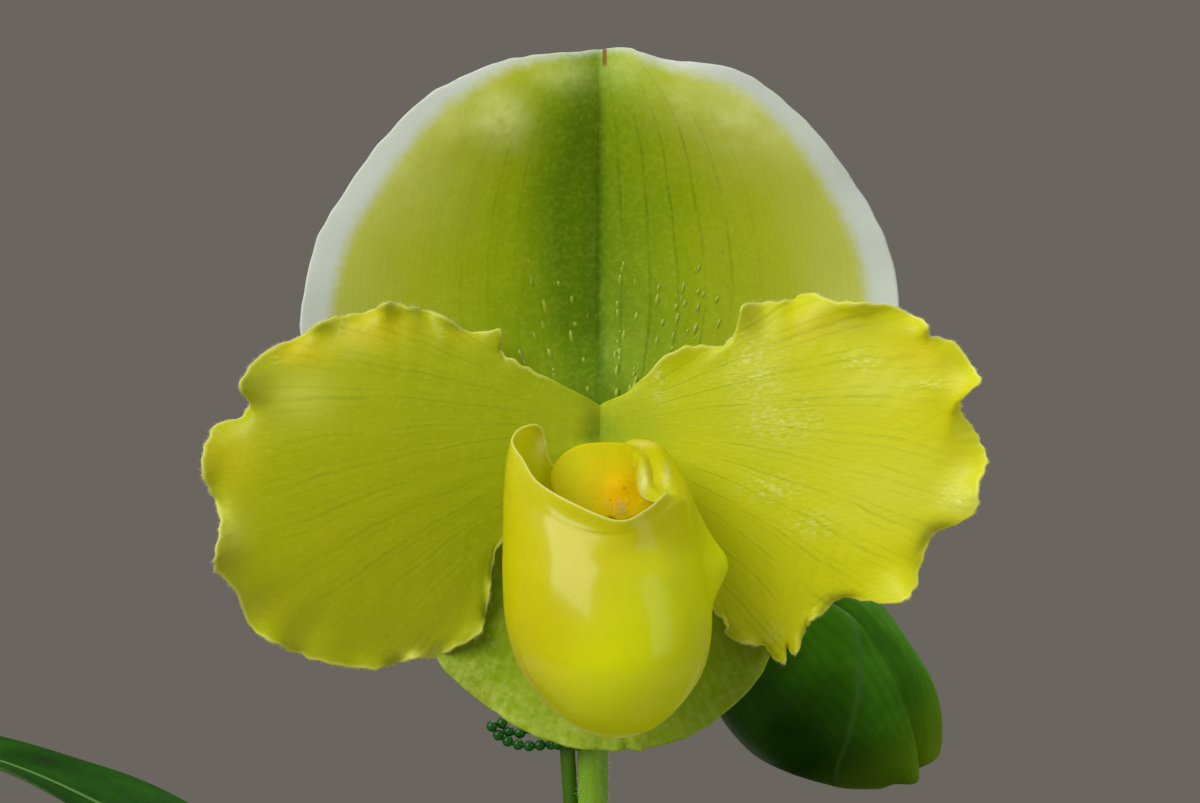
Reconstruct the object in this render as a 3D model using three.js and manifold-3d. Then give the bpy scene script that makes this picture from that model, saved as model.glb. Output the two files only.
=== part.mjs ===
// A slipper orchid in flower, growing in a terracotta pot.
// Millimetres, +Z up, the flower looks along -Y, and the origin is the middle of the pot's underside.
import * as THREE from 'three';
import { mergeVertices } from 'three/addons/utils/BufferGeometryUtils.js';
import Module from 'manifold-3d';

const wasm = await Module();
wasm.setup();

// ---------------------------------------------------------------- driving dimensions

const POT_HEIGHT = 104;
const POT_TOP_RADIUS = 60;
const POT_BASE_RADIUS = 42;
const POT_WALL = 5;
const POT_FLOOR = 6;
const COLLAR_HEIGHT = 18;
const COLLAR_STEP = 3.5;
const DRAIN_RADIUS = 5;
const DRAIN_CIRCLE = 20;
const DRAIN_COUNT = 4;
const POT_SIDES = 40;

const FIT_GAP = 0.35;
const BARK_TOP = 89;
const BARK_CHIPS = 44;
const BARK_SEED = 7;
const GOLDEN_ANGLE = Math.PI * (3 - Math.sqrt(5));
const PLANTING_DEPTH = 66;

const GROWTH_A = [0, 0];
const GROWTH_B = [4, 27];
const GROWTH_A_RADIUS = 9;
const GROWTH_B_RADIUS = 7.4;
const SHEATH_TOP = 96;
const SHEATH_HALF_ANGLE = 72;
const SHEATH_LENGTH = 30;
const OPEN_LENGTH = 88;
const LEAF_THICKNESS = 1.2;

const SCAPE_RADIUS = 2.4;
const OVARY_RADIUS = 3.1;
const NODE_HEIGHT = 232;

const FLOWER_CENTRE = [1.2, -42, 263];
const FLOWER_NOD = 7;
const PETAL_THICKNESS = 0.9;
const COLUMN_RADIUS = 2.8;
const COLUMN_DROP = 4;

const BUD_BASE = [27, 14, 226];
const BUD_TIP = [53, 14, 193];
const BUD_RADIUS = 16.6;
const BUD_FLATNESS = 0.86;
const BUD_KEEL = 1.3;
const BUD_FLARE = 5.5;

const STAKE_RADIUS = 1.15;
const STAKE_FOOT = [3.05, 13.9, 70];
const STAKE_TOP = [-6.15, -3.1, 230];
const BEAD_RADIUS = 0.9;
const BEAD_PITCH = 2.2;

// ---------------------------------------------------------------- mesh helpers

const vector = (x, y, z) => new THREE.Vector3(x, y, z);
const radians = THREE.MathUtils.degToRad;
const smooth = THREE.MathUtils.smoothstep;
const mix = THREE.MathUtils.lerp;

// A repeatable stream of numbers from 0 to 1.
function seededRandom(seed) {
  let state = seed;
  return () => {
    state = (state * 1664525 + 1013904223) % 4294967296;
    return state / 4294967296;
  };
}

// A grid of points becomes a sheet of triangles; a wrapped grid closes on itself sideways.
function gridSheet(rows, columns, wraps, pointAt) {
  const points = [];
  const triangles = [];
  for (let row = 0; row < rows; row += 1) {
    for (let column = 0; column < columns; column += 1) {
      points.push(pointAt(row / (rows - 1), wraps ? column / columns : column / (columns - 1)));
    }
  }
  const spans = wraps ? columns : columns - 1;
  for (let row = 0; row < rows - 1; row += 1) {
    for (let column = 0; column < spans; column += 1) {
      const next = (column + 1) % columns;
      const a = row * columns + column;
      const b = row * columns + next;
      const c = (row + 1) * columns + next;
      const d = (row + 1) * columns + column;
      triangles.push([a, b, c], [a, c, d]);
    }
  }
  return { points, triangles };
}

// A disc of rings round a middle point; rings lists how far out each ring lies, from 0 to 1.
function discSheet(rings, samples, pointAt) {
  const points = [pointAt(0, 0)];
  const triangles = [];
  rings.forEach((ring) => {
    for (let sample = 0; sample < samples; sample += 1) {
      points.push(pointAt(ring, sample / samples));
    }
  });
  for (let sample = 0; sample < samples; sample += 1) {
    const next = (sample + 1) % samples;
    triangles.push([0, 1 + sample, 1 + next]);
    for (let ring = 0; ring < rings.length - 1; ring += 1) {
      const inner = 1 + ring * samples;
      const outer = inner + samples;
      triangles.push([inner + sample, outer + sample, outer + next]);
      triangles.push([inner + sample, outer + next, inner + next]);
    }
  }
  return { points, triangles };
}

function makeGeometry(points, triangles) {
  const geometry = new THREE.BufferGeometry();
  const flat = points.flatMap((point) => point.toArray());
  geometry.setAttribute('position', new THREE.Float32BufferAttribute(flat, 3));
  geometry.setIndex(triangles.flat());
  return turnOutward(geometry);
}

// Six times the enclosed volume; a negative sum means that the faces point in, so they are reversed.
function turnOutward(geometry) {
  const position = geometry.attributes.position;
  const index = Array.from(geometry.index.array);
  const corner = (i) => new THREE.Vector3().fromBufferAttribute(position, index[i]);
  let sum = 0;
  for (let i = 0; i < index.length; i += 3) {
    sum += corner(i).dot(corner(i + 1).cross(corner(i + 2)));
  }
  if (sum < 0) {
    index.reverse();
    geometry.setIndex(index);
  }
  geometry.computeVertexNormals();
  return geometry;
}

// A sheet gets its thickness along its own normals, and its free edges are walled off.
function thicken({ points, triangles }, thickness) {
  const normals = points.map(() => vector(0, 0, 0));
  const usedEdges = new Set();
  triangles.forEach(([a, b, c]) => {
    const side = points[b].clone().sub(points[a]);
    const face = side.cross(points[c].clone().sub(points[a]));
    [a, b, c].forEach((corner) => normals[corner].add(face));
    [[a, b], [b, c], [c, a]].forEach(([from, to]) => usedEdges.add(`${from}>${to}`));
  });
  normals.forEach((normal) => normal.normalize());
  const half = thickness / 2;
  const front = points.map((point, i) => point.clone().addScaledVector(normals[i], half));
  const back = points.map((point, i) => point.clone().addScaledVector(normals[i], -half));
  const count = points.length;
  const skin = [];
  triangles.forEach(([a, b, c]) => {
    skin.push([a, b, c], [count + a, count + c, count + b]);
    [[a, b], [b, c], [c, a]].forEach(([from, to]) => {
      if (!usedEdges.has(`${to}>${from}`)) {
        skin.push([to, from, count + from], [to, count + from, count + to]);
      }
    });
  });
  return makeGeometry([...front, ...back], skin);
}

// A round solid along a path: rings square to the path, and a flat cap at each end.
function tubeSolid(pathAt, radiusAt, steps, sides) {
  const rings = [];
  let across = vector(1, 0, 0);
  for (let step = 0; step <= steps; step += 1) {
    const t = step / steps;
    const ahead = pathAt(Math.min(1, t + 0.001));
    const along = ahead.sub(pathAt(Math.max(0, t - 0.001))).normalize();
    across = across.clone().addScaledVector(along, -across.dot(along)).normalize();
    const up = along.clone().cross(across);
    const centre = pathAt(t);
    rings.push({ centre, across, up, t });
  }
  const sheet = gridSheet(steps + 1, sides, true, (row, column) => {
    const { centre, across: u, up: v, t } = rings[Math.round(row * steps)];
    const angle = column * 2 * Math.PI;
    const radius = radiusAt(t, angle);
    return centre.clone()
      .addScaledVector(u, radius * Math.cos(angle))
      .addScaledVector(v, radius * Math.sin(angle));
  });
  const firstCap = sheet.points.length;
  sheet.points.push(pathAt(0), pathAt(1));
  const lastRow = steps * sides;
  for (let side = 0; side < sides; side += 1) {
    const next = (side + 1) % sides;
    sheet.triangles.push([firstCap, next, side]);
    sheet.triangles.push([firstCap + 1, lastRow + side, lastRow + next]);
  }
  return makeGeometry(sheet.points, sheet.triangles);
}

function toManifold(geometry) {
  const bare = geometry.clone();
  bare.deleteAttribute('normal');
  if (bare.attributes.uv) {
    bare.deleteAttribute('uv');
  }
  const merged = mergeVertices(bare, 1e-4);
  const vertProperties = new Float32Array(merged.attributes.position.array);
  const triVerts = new Uint32Array(merged.index.array);
  return new wasm.Manifold(new wasm.Mesh({ numProp: 3, vertProperties, triVerts }));
}

function fromManifold(solid) {
  const { vertProperties, triVerts } = solid.getMesh();
  const geometry = new THREE.BufferGeometry();
  geometry.setAttribute('position', new THREE.Float32BufferAttribute(vertProperties, 3));
  geometry.setIndex(Array.from(triVerts));
  geometry.computeVertexNormals();
  return geometry;
}

// Cutting can leave a loose scrap behind: only the largest body is kept.
function largestBody(solid) {
  const bodies = solid.decompose();
  bodies.sort((a, b) => b.volume() - a.volume());
  return bodies[0];
}

function turned(profile, sides) {
  const points = profile.map(([radius, height]) => new THREE.Vector2(radius, height));
  return new THREE.LatheGeometry(points, sides).rotateX(Math.PI / 2);
}

function peg(x, y, bottom, top, radius, sides) {
  const cylinder = new THREE.CylinderGeometry(radius, radius, top - bottom, sides);
  return cylinder.rotateX(Math.PI / 2).translate(x, y, (top + bottom) / 2);
}

function makeMesh(name, geometry, colour, roughness) {
  const material = new THREE.MeshStandardMaterial({ color: colour, roughness, metalness: 0 });
  const mesh = new THREE.Mesh(geometry, material);
  mesh.name = name;
  return mesh;
}

// ---------------------------------------------------------------- pot and potting bark

// The inside of the pot, seen as a profile that starts on the floor.
function potInside(clearance) {
  const slope = (POT_TOP_RADIUS - POT_BASE_RADIUS) / POT_HEIGHT;
  const radiusAt = (height) => POT_BASE_RADIUS + slope * height - COLLAR_STEP - POT_WALL;
  const floor = POT_FLOOR + clearance;
  return [
    [0, floor],
    [radiusAt(floor) + COLLAR_STEP - clearance, floor],
    [radiusAt(POT_HEIGHT) + COLLAR_STEP - clearance, POT_HEIGHT + 40],
    [0, POT_HEIGHT + 40],
  ];
}

function potGeometry() {
  const collarBottom = POT_HEIGHT - COLLAR_HEIGHT;
  const body = turned([
    [0, 0],
    [POT_BASE_RADIUS - 1.5, 0],
    [POT_BASE_RADIUS, 1.5],
    [POT_TOP_RADIUS - COLLAR_STEP - 2, collarBottom],
    [POT_TOP_RADIUS - 1, collarBottom + 1.5],
    [POT_TOP_RADIUS, collarBottom + 4],
    [POT_TOP_RADIUS, POT_HEIGHT - 1.5],
    [POT_TOP_RADIUS - 1.5, POT_HEIGHT],
    [0, POT_HEIGHT],
  ], POT_SIDES);
  let pot = toManifold(body).subtract(toManifold(turned(potInside(0), POT_SIDES)));
  for (let hole = 0; hole < DRAIN_COUNT; hole += 1) {
    const angle = ((hole + 0.5) / DRAIN_COUNT) * 2 * Math.PI;
    const x = DRAIN_CIRCLE * Math.cos(angle);
    const y = DRAIN_CIRCLE * Math.sin(angle);
    pot = pot.subtract(toManifold(peg(x, y, -5, POT_FLOOR + 5, DRAIN_RADIUS, 16)));
  }
  return fromManifold(pot);
}

// One chip of bark: a flat block with its corners pulled about.
function barkChip(random) {
  const length = mix(9, 17, random());
  const width = mix(7, 11, random());
  const height = mix(4, 7, random());
  const chip = new THREE.BoxGeometry(length, width, height);
  chip.deleteAttribute('normal');
  chip.deleteAttribute('uv');
  const block = mergeVertices(chip);
  const position = block.attributes.position;
  for (let i = 0; i < position.count; i += 1) {
    position.setXYZ(
      i,
      position.getX(i) * mix(0.7, 1.05, random()),
      position.getY(i) * mix(0.7, 1.05, random()),
      position.getZ(i) * mix(0.8, 1.1, random()),
    );
  }
  block.rotateX(mix(-0.35, 0.35, random()));
  block.rotateY(mix(-0.35, 0.35, random()));
  block.rotateZ(2 * Math.PI * random());
  return block;
}

function barkGeometry() {
  const random = seededRandom(BARK_SEED);
  const topRadius = potInside(FIT_GAP)[2][0];
  const filling = turned([[0, 0], [topRadius, 0], [topRadius, BARK_TOP], [0, BARK_TOP]], POT_SIDES);
  let bark = toManifold(filling);
  for (let chip = 0; chip < BARK_CHIPS; chip += 1) {
    const turn = chip * GOLDEN_ANGLE;
    const reach = (topRadius - 4) * Math.sqrt((chip + 0.5) / BARK_CHIPS);
    const block = barkChip(random);
    const height = BARK_TOP + mix(-0.5, 2.2, random());
    block.translate(reach * Math.cos(turn), reach * Math.sin(turn), height);
    bark = bark.add(toManifold(block));
  }
  bark = bark.intersect(toManifold(turned(potInside(FIT_GAP), POT_SIDES)));
  const floor = PLANTING_DEPTH - FIT_GAP;
  const holeTop = BARK_TOP + 30;
  const holes = [
    peg(...GROWTH_A, floor, holeTop, GROWTH_A_RADIUS + LEAF_THICKNESS / 2 + 2 * FIT_GAP, 24),
    peg(...GROWTH_B, floor, holeTop, GROWTH_B_RADIUS + LEAF_THICKNESS / 2 + 2 * FIT_GAP, 24),
    stakeGeometry(STAKE_RADIUS + FIT_GAP),
  ];
  holes.forEach((hole) => {
    bark = bark.subtract(toManifold(hole));
  });
  return fromManifold(largestBody(bark));
}

// ---------------------------------------------------------------- leaves

// Each leaf clasps its growth as part of a ring, then opens into a strap with a fold along its midrib.
// route lists [distance out, height] above the bark; veer turns the leaf sideways and roll tips it,
// both towards its end.
function leafGeometry({ growth, azimuth, ring, route, halfWidth, veer, roll, fold }) {
  const upright = [PLANTING_DEPTH, mix(PLANTING_DEPTH, SHEATH_TOP, 0.5), SHEATH_TOP];
  const stations = [...upright.map((height) => [ring, height]), ...route];
  const curve = new THREE.CatmullRomCurve3(stations.map(([out, height]) => vector(out, 0, height)));
  const pathAt = (t) => {
    const point = curve.getPointAt(t);
    const heading = radians(azimuth + veer * smooth(t, 0.05, 1));
    const x = growth[0] + point.x * Math.cos(heading);
    const y = growth[1] + point.x * Math.sin(heading);
    return vector(x, y, point.z);
  };
  const clasp = ring * radians(SHEATH_HALF_ANGLE);
  const length = curve.getLength();
  const sheet = gridSheet(14, 5, false, (t, across) => {
    const heading = radians(azimuth + veer * smooth(t, 0.05, 1));
    const along = pathAt(Math.min(1, t + 0.01)).sub(pathAt(Math.max(0, t - 0.01))).normalize();
    const sideways = vector(-Math.sin(heading), Math.cos(heading), 0);
    const inward = along.clone().cross(sideways).normalize();
    sideways.copy(inward).cross(along);
    const grown = t * length;
    const tip = radians(roll) * smooth(grown, SHEATH_LENGTH + 20, length * 0.8);
    const blade = halfWidth * (1 - Math.max(0, (t - 0.42) / 0.6) ** 2.3) ** 0.75;
    const reach = mix(clasp, blade, smooth(grown, SHEATH_LENGTH, OPEN_LENGTH)) * (2 * across - 1);
    const bend = mix(1 / ring, 0.006, smooth(grown, SHEATH_LENGTH, OPEN_LENGTH - 10));
    const side = Math.sin(bend * reach) / bend;
    const rise = (1 - Math.cos(bend * reach)) / bend;
    const lift = rise + fold * Math.abs(reach) * smooth(grown, SHEATH_LENGTH + 10, OPEN_LENGTH + 20);
    return pathAt(t)
      .addScaledVector(sideways, side * Math.cos(tip) - lift * Math.sin(tip))
      .addScaledVector(inward, side * Math.sin(tip) + lift * Math.cos(tip));
  });
  return thicken(sheet, LEAF_THICKNESS);
}

const LEAVES = [
  {
    name: 'leaf_a1',
    growth: GROWTH_A, azimuth: -8, ring: 9, veer: -14, roll: -3, fold: 0.1, halfWidth: 18,
    route: [[13, 106], [34, 126], [72, 137], [112, 134], [148, 119], [172, 100]],
  },
  {
    name: 'leaf_a2',
    growth: GROWTH_A, azimuth: 172, ring: 9, veer: 16, roll: -6, fold: 0.1, halfWidth: 18.5,
    route: [[13, 107], [33, 130], [70, 146], [110, 146], [146, 133], [174, 112]],
  },
  {
    name: 'leaf_a3',
    growth: GROWTH_A, azimuth: -8, ring: 7.4, veer: 12, roll: 4, fold: 0.12, halfWidth: 18,
    route: [[12, 112], [29, 143], [60, 164], [100, 169], [138, 158], [166, 140]],
  },
  {
    name: 'leaf_a4',
    growth: GROWTH_A, azimuth: 172, ring: 7.4, veer: -11, roll: 12, fold: 0.1, halfWidth: 19.5,
    route: [[10.5, 114], [25, 144], [54, 168], [84, 181], [114, 190], [152, 191], [190, 178]],
  },
  {
    name: 'leaf_a5',
    growth: GROWTH_A, azimuth: -8, ring: 5.6, veer: -22, roll: -4, fold: 0.14, halfWidth: 15,
    route: [[7.3, 120], [17, 150], [37, 172], [66, 184], [94, 184], [118, 175]],
  },
  {
    name: 'leaf_b1',
    growth: GROWTH_B, azimuth: 8, ring: 7.4, veer: 34, roll: 3, fold: 0.1, halfWidth: 16,
    route: [[11, 106], [30, 127], [62, 138], [96, 134], [126, 119], [146, 102]],
  },
  {
    name: 'leaf_b2',
    growth: GROWTH_B, azimuth: 172, ring: 7.4, veer: -40, roll: -3, fold: 0.1, halfWidth: 16,
    route: [[10.5, 107], [28, 130], [58, 142], [92, 140], [122, 127], [144, 108]],
  },
  {
    name: 'leaf_b3',
    growth: GROWTH_B, azimuth: 8, ring: 5.8, veer: 64, roll: 0, fold: 0.14, halfWidth: 13.5,
    route: [[8, 112], [19, 138], [40, 156], [66, 161], [92, 152], [112, 136]],
  },
];

// ---------------------------------------------------------------- flower stem, bracts and stake

const scapeCurve = new THREE.CatmullRomCurve3([
  vector(0, 0, PLANTING_DEPTH), vector(0, 0, 120), vector(0, 0, 180), vector(0, 0, NODE_HEIGHT),
  vector(0.1, -3.5, 247), vector(0.5, -14, 256.5), vector(0.9, -27, 259.5), vector(1.2, -36.8, 258.5),
]);

const rachisCurve = new THREE.CatmullRomCurve3([
  vector(0, 0, NODE_HEIGHT - 6), vector(0.4, 2.5, 239), vector(2, 6, 247), vector(8, 11, 254),
  vector(16, 14, 252), vector(21.5, 14.2, 242), vector(24.2, 14, 232.6), vector(26.5, 14, 226.7),
]);

// A stem with an ovary at its end: six low ribs swell where the stem thickens.
function stemSolid(curve, ovaryStart, steps) {
  const radiusAt = (t, angle) => {
    const swell = smooth(t, ovaryStart, ovaryStart + 0.12);
    const neck = smooth(t, 0.93, 1);
    const radius = mix(SCAPE_RADIUS, OVARY_RADIUS, swell) - 0.5 * neck;
    return radius * (1 + 0.07 * swell * Math.cos(6 * angle));
  };
  return tubeSolid((t) => curve.getPointAt(t), radiusAt, steps, 12);
}

function flowerStemGeometry() {
  const scape = toManifold(stemSolid(scapeCurve, 0.78, 20));
  const rachis = toManifold(stemSolid(rachisCurve, 0.45, 12));
  return fromManifold(scape.add(rachis));
}

// A bract is a pointed sheath that half wraps the stem from one of its joints.
function bractGeometry(curve, start, end, facing, halfAngle) {
  const sheet = gridSheet(9, 7, false, (t, across) => {
    const place = mix(start, end, t);
    const along = curve.getTangentAt(place);
    const outward = facing.clone().addScaledVector(along, -facing.dot(along)).normalize();
    const sideways = along.clone().cross(outward);
    const angle = radians(halfAngle) * (1 - t ** 2.2 * 0.86) * (2 * across - 1);
    const radius = OVARY_RADIUS * 1.07 + FIT_GAP + 0.35 + 2.2 * t ** 2;
    return curve.getPointAt(place)
      .addScaledVector(outward, radius * Math.cos(angle))
      .addScaledVector(sideways, radius * Math.sin(angle));
  });
  return thicken(sheet, 0.7);
}

function stakeGeometry(radius) {
  const foot = vector(...STAKE_FOOT);
  const top = vector(...STAKE_TOP);
  return tubeSolid((t) => foot.clone().lerp(top, t), () => radius, 1, 12);
}

// The tie is a string of beads: a short end, a turn and a half round stem and stake, a short end.
function tieCurve() {
  const lean = (height) => (height - STAKE_FOOT[2]) / (STAKE_TOP[2] - STAKE_FOOT[2]);
  const points = [
    vector(-17.4, -1.6, 206), vector(-16.1, -1.7, 203.9), vector(-13.9, -1.9, 202.5), vector(-11, -2.4, 202),
  ];
  const clearance = BEAD_RADIUS + 0.75;
  for (let step = 0; step <= 20; step += 1) {
    const angle = radians(205 + step * 29);
    const height = 202 + 0.28 * step;
    const stake = vector(...STAKE_FOOT).lerp(vector(...STAKE_TOP), lean(height));
    const normal = vector(Math.cos(angle), Math.sin(angle), 0);
    const roundStake = stake.x * normal.x + stake.y * normal.y + STAKE_RADIUS;
    const useStake = roundStake > SCAPE_RADIUS;
    const centre = useStake ? vector(stake.x, stake.y, height) : vector(0, 0, height);
    const radius = (useStake ? STAKE_RADIUS : SCAPE_RADIUS) + clearance;
    points.push(centre.addScaledVector(normal, radius));
  }
  points.push(vector(-11.2, 1.2, 208.2), vector(-14, 0.6, 209.4), vector(-16.4, -0.4, 211));
  return new THREE.CatmullRomCurve3(points);
}

function beadTieGeometry() {
  const curve = tieCurve();
  const beads = Math.round(curve.getLength() / BEAD_PITCH);
  const radii = [BEAD_RADIUS * 0.46, BEAD_RADIUS * 0.97, BEAD_RADIUS * 0.97];
  const steps = beads * radii.length;
  const radiusAt = (t) => radii[Math.round(t * steps) % radii.length];
  return tubeSolid((t) => curve.getPointAt(t), radiusAt, steps, 6);
}

// ---------------------------------------------------------------- flower: sepals and petals

// A blade is spread from a middle point to a closed margin. margin lists [across, up, lift], where lift
// is how far the margin curls back; depthAt shapes the whole blade, and curl keeps the lift near the edge.
function bladeGeometry({ margin, middle, rings, samples, curl, depthAt, thickness }) {
  const points = margin.map(([x, z, lift]) => vector(x, lift, z));
  const curve = new THREE.CatmullRomCurve3(points, true, 'catmullrom', 0.5);
  const sheet = discSheet(rings, samples, (ring, turn) => {
    const edge = curve.getPoint(turn);
    const x = mix(middle[0], edge.x, ring);
    const z = mix(middle[1], edge.z, ring);
    return vector(x, depthAt(x, z) + edge.y * ring ** curl, z);
  });
  return thicken(sheet, thickness);
}

const DORSAL_SEPAL = {
  middle: [0, 26],
  rings: [0.22, 0.44, 0.64, 0.82, 0.93, 1],
  samples: 56,
  curl: 7,
  thickness: 1,
  depthAt: (x, z) => {
    const height = Math.max(0, z) / 56;
    const groove = 2.4 * Math.exp(-((x / 3) ** 2)) * smooth(z, 3, 12);
    return 2.4 + 3.2 * Math.sin(2.8 * height) - 7.5 * height ** 2 - 0.0022 * x * x + groove;
  },
  margin: [
    [0, -0.6, 0], [3.5, -0.8, 0], [13, -2.2, 0], [23, -3, 0], [33.5, -1.5, 0], [41.5, 4, 0],
    [45, 10.5, -0.5], [45.5, 17, 0], [44.5, 24, 0.5], [41.5, 31, 1], [37, 38, 1], [31.5, 44.5, 1],
    [25.5, 49, 1.5], [20.5, 51.5, 1.5], [15, 52.5, 2], [10, 53.5, 3], [7, 55, 3], [4, 55.5, 4.5],
    [1, 55.5, 4.5], [-4, 55, 4.5], [-9, 54, 4], [-14.5, 53, 2.5], [-20.5, 51, 1.5], [-27, 47.5, 1],
    [-33.5, 41.5, 1], [-39, 34, 1], [-43, 27, 0.5], [-45, 19, 0], [-45.5, 12, -0.5], [-43.5, 5.5, 0],
    [-38, -1, 0], [-27.5, -3, 0], [-15.5, -2.5, 0], [-3.5, -0.8, 0],
  ],
};

const SYNSEPAL = {
  middle: [0.5, -30],
  rings: [0.3, 0.58, 0.82, 1],
  samples: 48,
  curl: 5,
  thickness: 1,
  depthAt: (x, z) => {
    const drop = Math.max(0, -z);
    return 2.4 + 2.6 * Math.sin(drop / 18) - 4.5 * (drop / 51) ** 2 - 0.0035 * x * x;
  },
  margin: [
    [0, -7.4, 0], [-2.6, -7.6, 0], [-9, -10, 0], [-17, -16, 0], [-23, -23.5, 0.5], [-25.5, -31, 0],
    [-25, -36.5, -0.5], [-22, -40.5, 0], [-16.5, -45, 0.5], [-10.5, -48.5, 0], [-4.5, -50.5, 0],
    [0, -51, 0.5], [2.5, -51, -0.5], [4, -50, 1], [6, -51, -1], [8, -50.5, 0.5], [13, -49, 0],
    [18, -46, 0], [23, -41.5, -0.5], [26, -36.5, 0], [28, -30.5, 0.5], [26, -23, 0], [20, -14.5, 0],
    [12, -9.5, 0], [2.6, -7.6, 0],
  ],
};

const PETAL_RINGS = [0.34, 0.64, 0.84, 0.94, 1];

// Both petals reach forward from the column and bow a little across their width.
function petalDepth(x, z) {
  const out = Math.abs(x);
  return -0.4 - 0.17 * out + 0.0016 * (z + 0.17 * out) ** 2;
}

const PETAL_RIGHT = {
  middle: [28.5, -8],
  rings: PETAL_RINGS,
  samples: 76,
  curl: 6,
  thickness: PETAL_THICKNESS,
  depthAt: petalDepth,
  margin: [
    [0.4, 0, 0], [1, 1.3, 0], [4.5, 3.8, 0], [10.5, 9.5, -1.5], [15, 10.5, -0.5], [18.5, 10.5, 0.5],
    [20.5, 13, -0.5], [21.5, 16.5, -2], [25, 17, 0], [28.5, 17.5, 1.5], [32, 18.5, 2], [35.5, 17, 0],
    [39.5, 17, -1], [44, 16.5, 1], [47, 15, 2], [49, 13.5, -1], [49.5, 12, 0.5], [53, 11, 2],
    [55.5, 7.5, 1], [56.5, 5, -2.5], [54, 2.5, -1], [54, 0.5, 1], [56, -2, 2.5], [57.5, -5, 2],
    [57.5, -7.5, -0.5], [56, -10.5, -3], [56, -14, -2.5], [53.5, -16, 0], [50, -18, 2],
    [48.5, -21.5, 1.5], [47, -26, -1], [44.5, -28, -2], [40.5, -28, -0.5], [36.5, -27.5, 1.5],
    [33.5, -29, 0], [31.5, -31, -2], [30.5, -34.5, 1.5], [28.5, -36, -2.5], [27, -37, -0.5],
    [25.5, -35, 2], [22.5, -34, 0.5], [20, -32.5, -1.5], [19.5, -31, 0], [17, -29, 0.5], [13.5, -25, 0.5],
    [10, -18, 0], [7, -11, 0], [4.2, -6.5, 0], [3.3, -4, 0], [2.3, -2, 0], [1, -0.8, 0],
  ],
};

const PETAL_LEFT = {
  middle: [-35.5, -11],
  rings: PETAL_RINGS,
  samples: 76,
  curl: 6,
  thickness: PETAL_THICKNESS,
  depthAt: petalDepth,
  margin: [
    [-0.4, 0, 0], [-1.2, 1.3, 0], [-8.5, 6, -0.5], [-12.5, 8, 0], [-15, 10, 1], [-15, 13, -2],
    [-19.5, 12.5, 0.5], [-23.5, 15, -0.5], [-26.5, 16, 1], [-29.5, 16.5, -1], [-32, 17, -2],
    [-34.5, 16, 1.5], [-38.5, 15, 1], [-42, 14, -1], [-45, 12, 1.5], [-48.5, 10.5, 0],
    [-52, 7.5, -1.5], [-53.5, 4, -3], [-52.5, 2, 1], [-54, -0.5, 2], [-57.5, -1.5, 2], [-59, -5, 0],
    [-59, -9, -1], [-57.5, -12.5, 1], [-56.5, -16.5, -1.5], [-57, -20.5, -3], [-57, -23, -2],
    [-54.5, -26.5, 0.5], [-52.5, -32, 1.5], [-48.5, -34.5, 0], [-44.5, -36.5, 1], [-39, -38, 0],
    [-34, -38.5, -1.5], [-31, -37.5, 1.5], [-28, -37, -2], [-25, -37, 2], [-22, -35.5, -1.5],
    [-18, -33, -2], [-17.5, -30.5, 1], [-16.5, -27, -1], [-16.5, -24, 1], [-15, -19.5, 0],
    [-10.5, -14, 0], [-6.5, -9, 0], [-3.3, -4.2, 0], [-2.3, -2, 0], [-1, -0.8, 0],
  ],
};

// ---------------------------------------------------------------- flower: pouch and column

// The mouth of the pouch, one point for each twelfth of a turn, from the front towards the right.
const POUCH_MOUTH = [
  [2.9, -37, -14.4], [7.2, -33.5, -13.1], [10.2, -27, -10.8], [11.2, -20, -7.8], [9.9, -13.5, -5],
  [6.4, -8.2, -5.4], [0, -6, -8.6], [-6, -8.2, -5.8], [-9.4, -13, -3], [-12, -18.5, -1.6],
  [-11.4, -25.5, -6], [-6.6, -33, -11.6],
];

// Below the mouth the bag is a stack of ovals: [height, across, forward and back, middle x, middle y].
const POUCH_OVALS = [
  [-17.5, 13.4, 14.6, 0.2, -22.5],
  [-23, 14, 15.4, 0.5, -24.5],
  [-30, 14.2, 15, 1.1, -26],
  [-36, 12.9, 13.6, 1.6, -26.2],
  [-41, 9.8, 10.4, 1.9, -25.8],
  [-44.4, 5.4, 5.8, 2, -25.3],
];
const POUCH_TOE = [2, -25, -45.8];
const POUCH_SHOULDER = 5.2;
const POUCH_ROLL = 3.2;
const POUCH_LIP = 0.9;
const POUCH_SAMPLES = 32;
const POUCH_MIDDLE = [0.5, -20];

const mouthPoints = POUCH_MOUTH.map((point) => vector(...point));
const mouthCurve = new THREE.CatmullRomCurve3(mouthPoints, true, 'catmullrom', 0.5);

// One level of the bag, from the rolled lip (first two levels) through the mouth to the toe.
function pouchLevel(level, turn) {
  const angle = turn * 2 * Math.PI;
  const mouth = mouthCurve.getPoint(turn);
  const inward = vector(POUCH_MIDDLE[0] - mouth.x, POUCH_MIDDLE[1] - mouth.y, 0).normalize();
  const backness = smooth(-Math.cos(angle), 0.5, 1);
  const roll = mix(POUCH_LIP, POUCH_ROLL, Math.sin(angle) ** 2) * (1 - 0.55 * backness);
  if (level === 0) {
    return mouth.addScaledVector(inward, roll).add(vector(0, 0, -roll));
  }
  if (level === 1) {
    return mouth.addScaledVector(inward, roll * 0.62).add(vector(0, 0, roll * 0.12));
  }
  if (level === 2) {
    return mouth;
  }
  const oval = POUCH_OVALS[Math.max(0, level - 4)];
  const [height, across, deep, middleX, middleY] = oval;
  const shoulder = level <= 6 ? POUCH_SHOULDER * [0.45, 0.85, 1, 0.25][level - 3] : 0;
  const bulge = shoulder * Math.exp(-(((angle - 1.75) / 0.42) ** 2));
  const x = middleX + (across + bulge) * Math.sin(angle);
  const y = middleY - deep * Math.cos(angle);
  const bag = vector(x, y, height);
  return level === 3 ? bag.lerp(mouth, 0.5) : bag;
}

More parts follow.
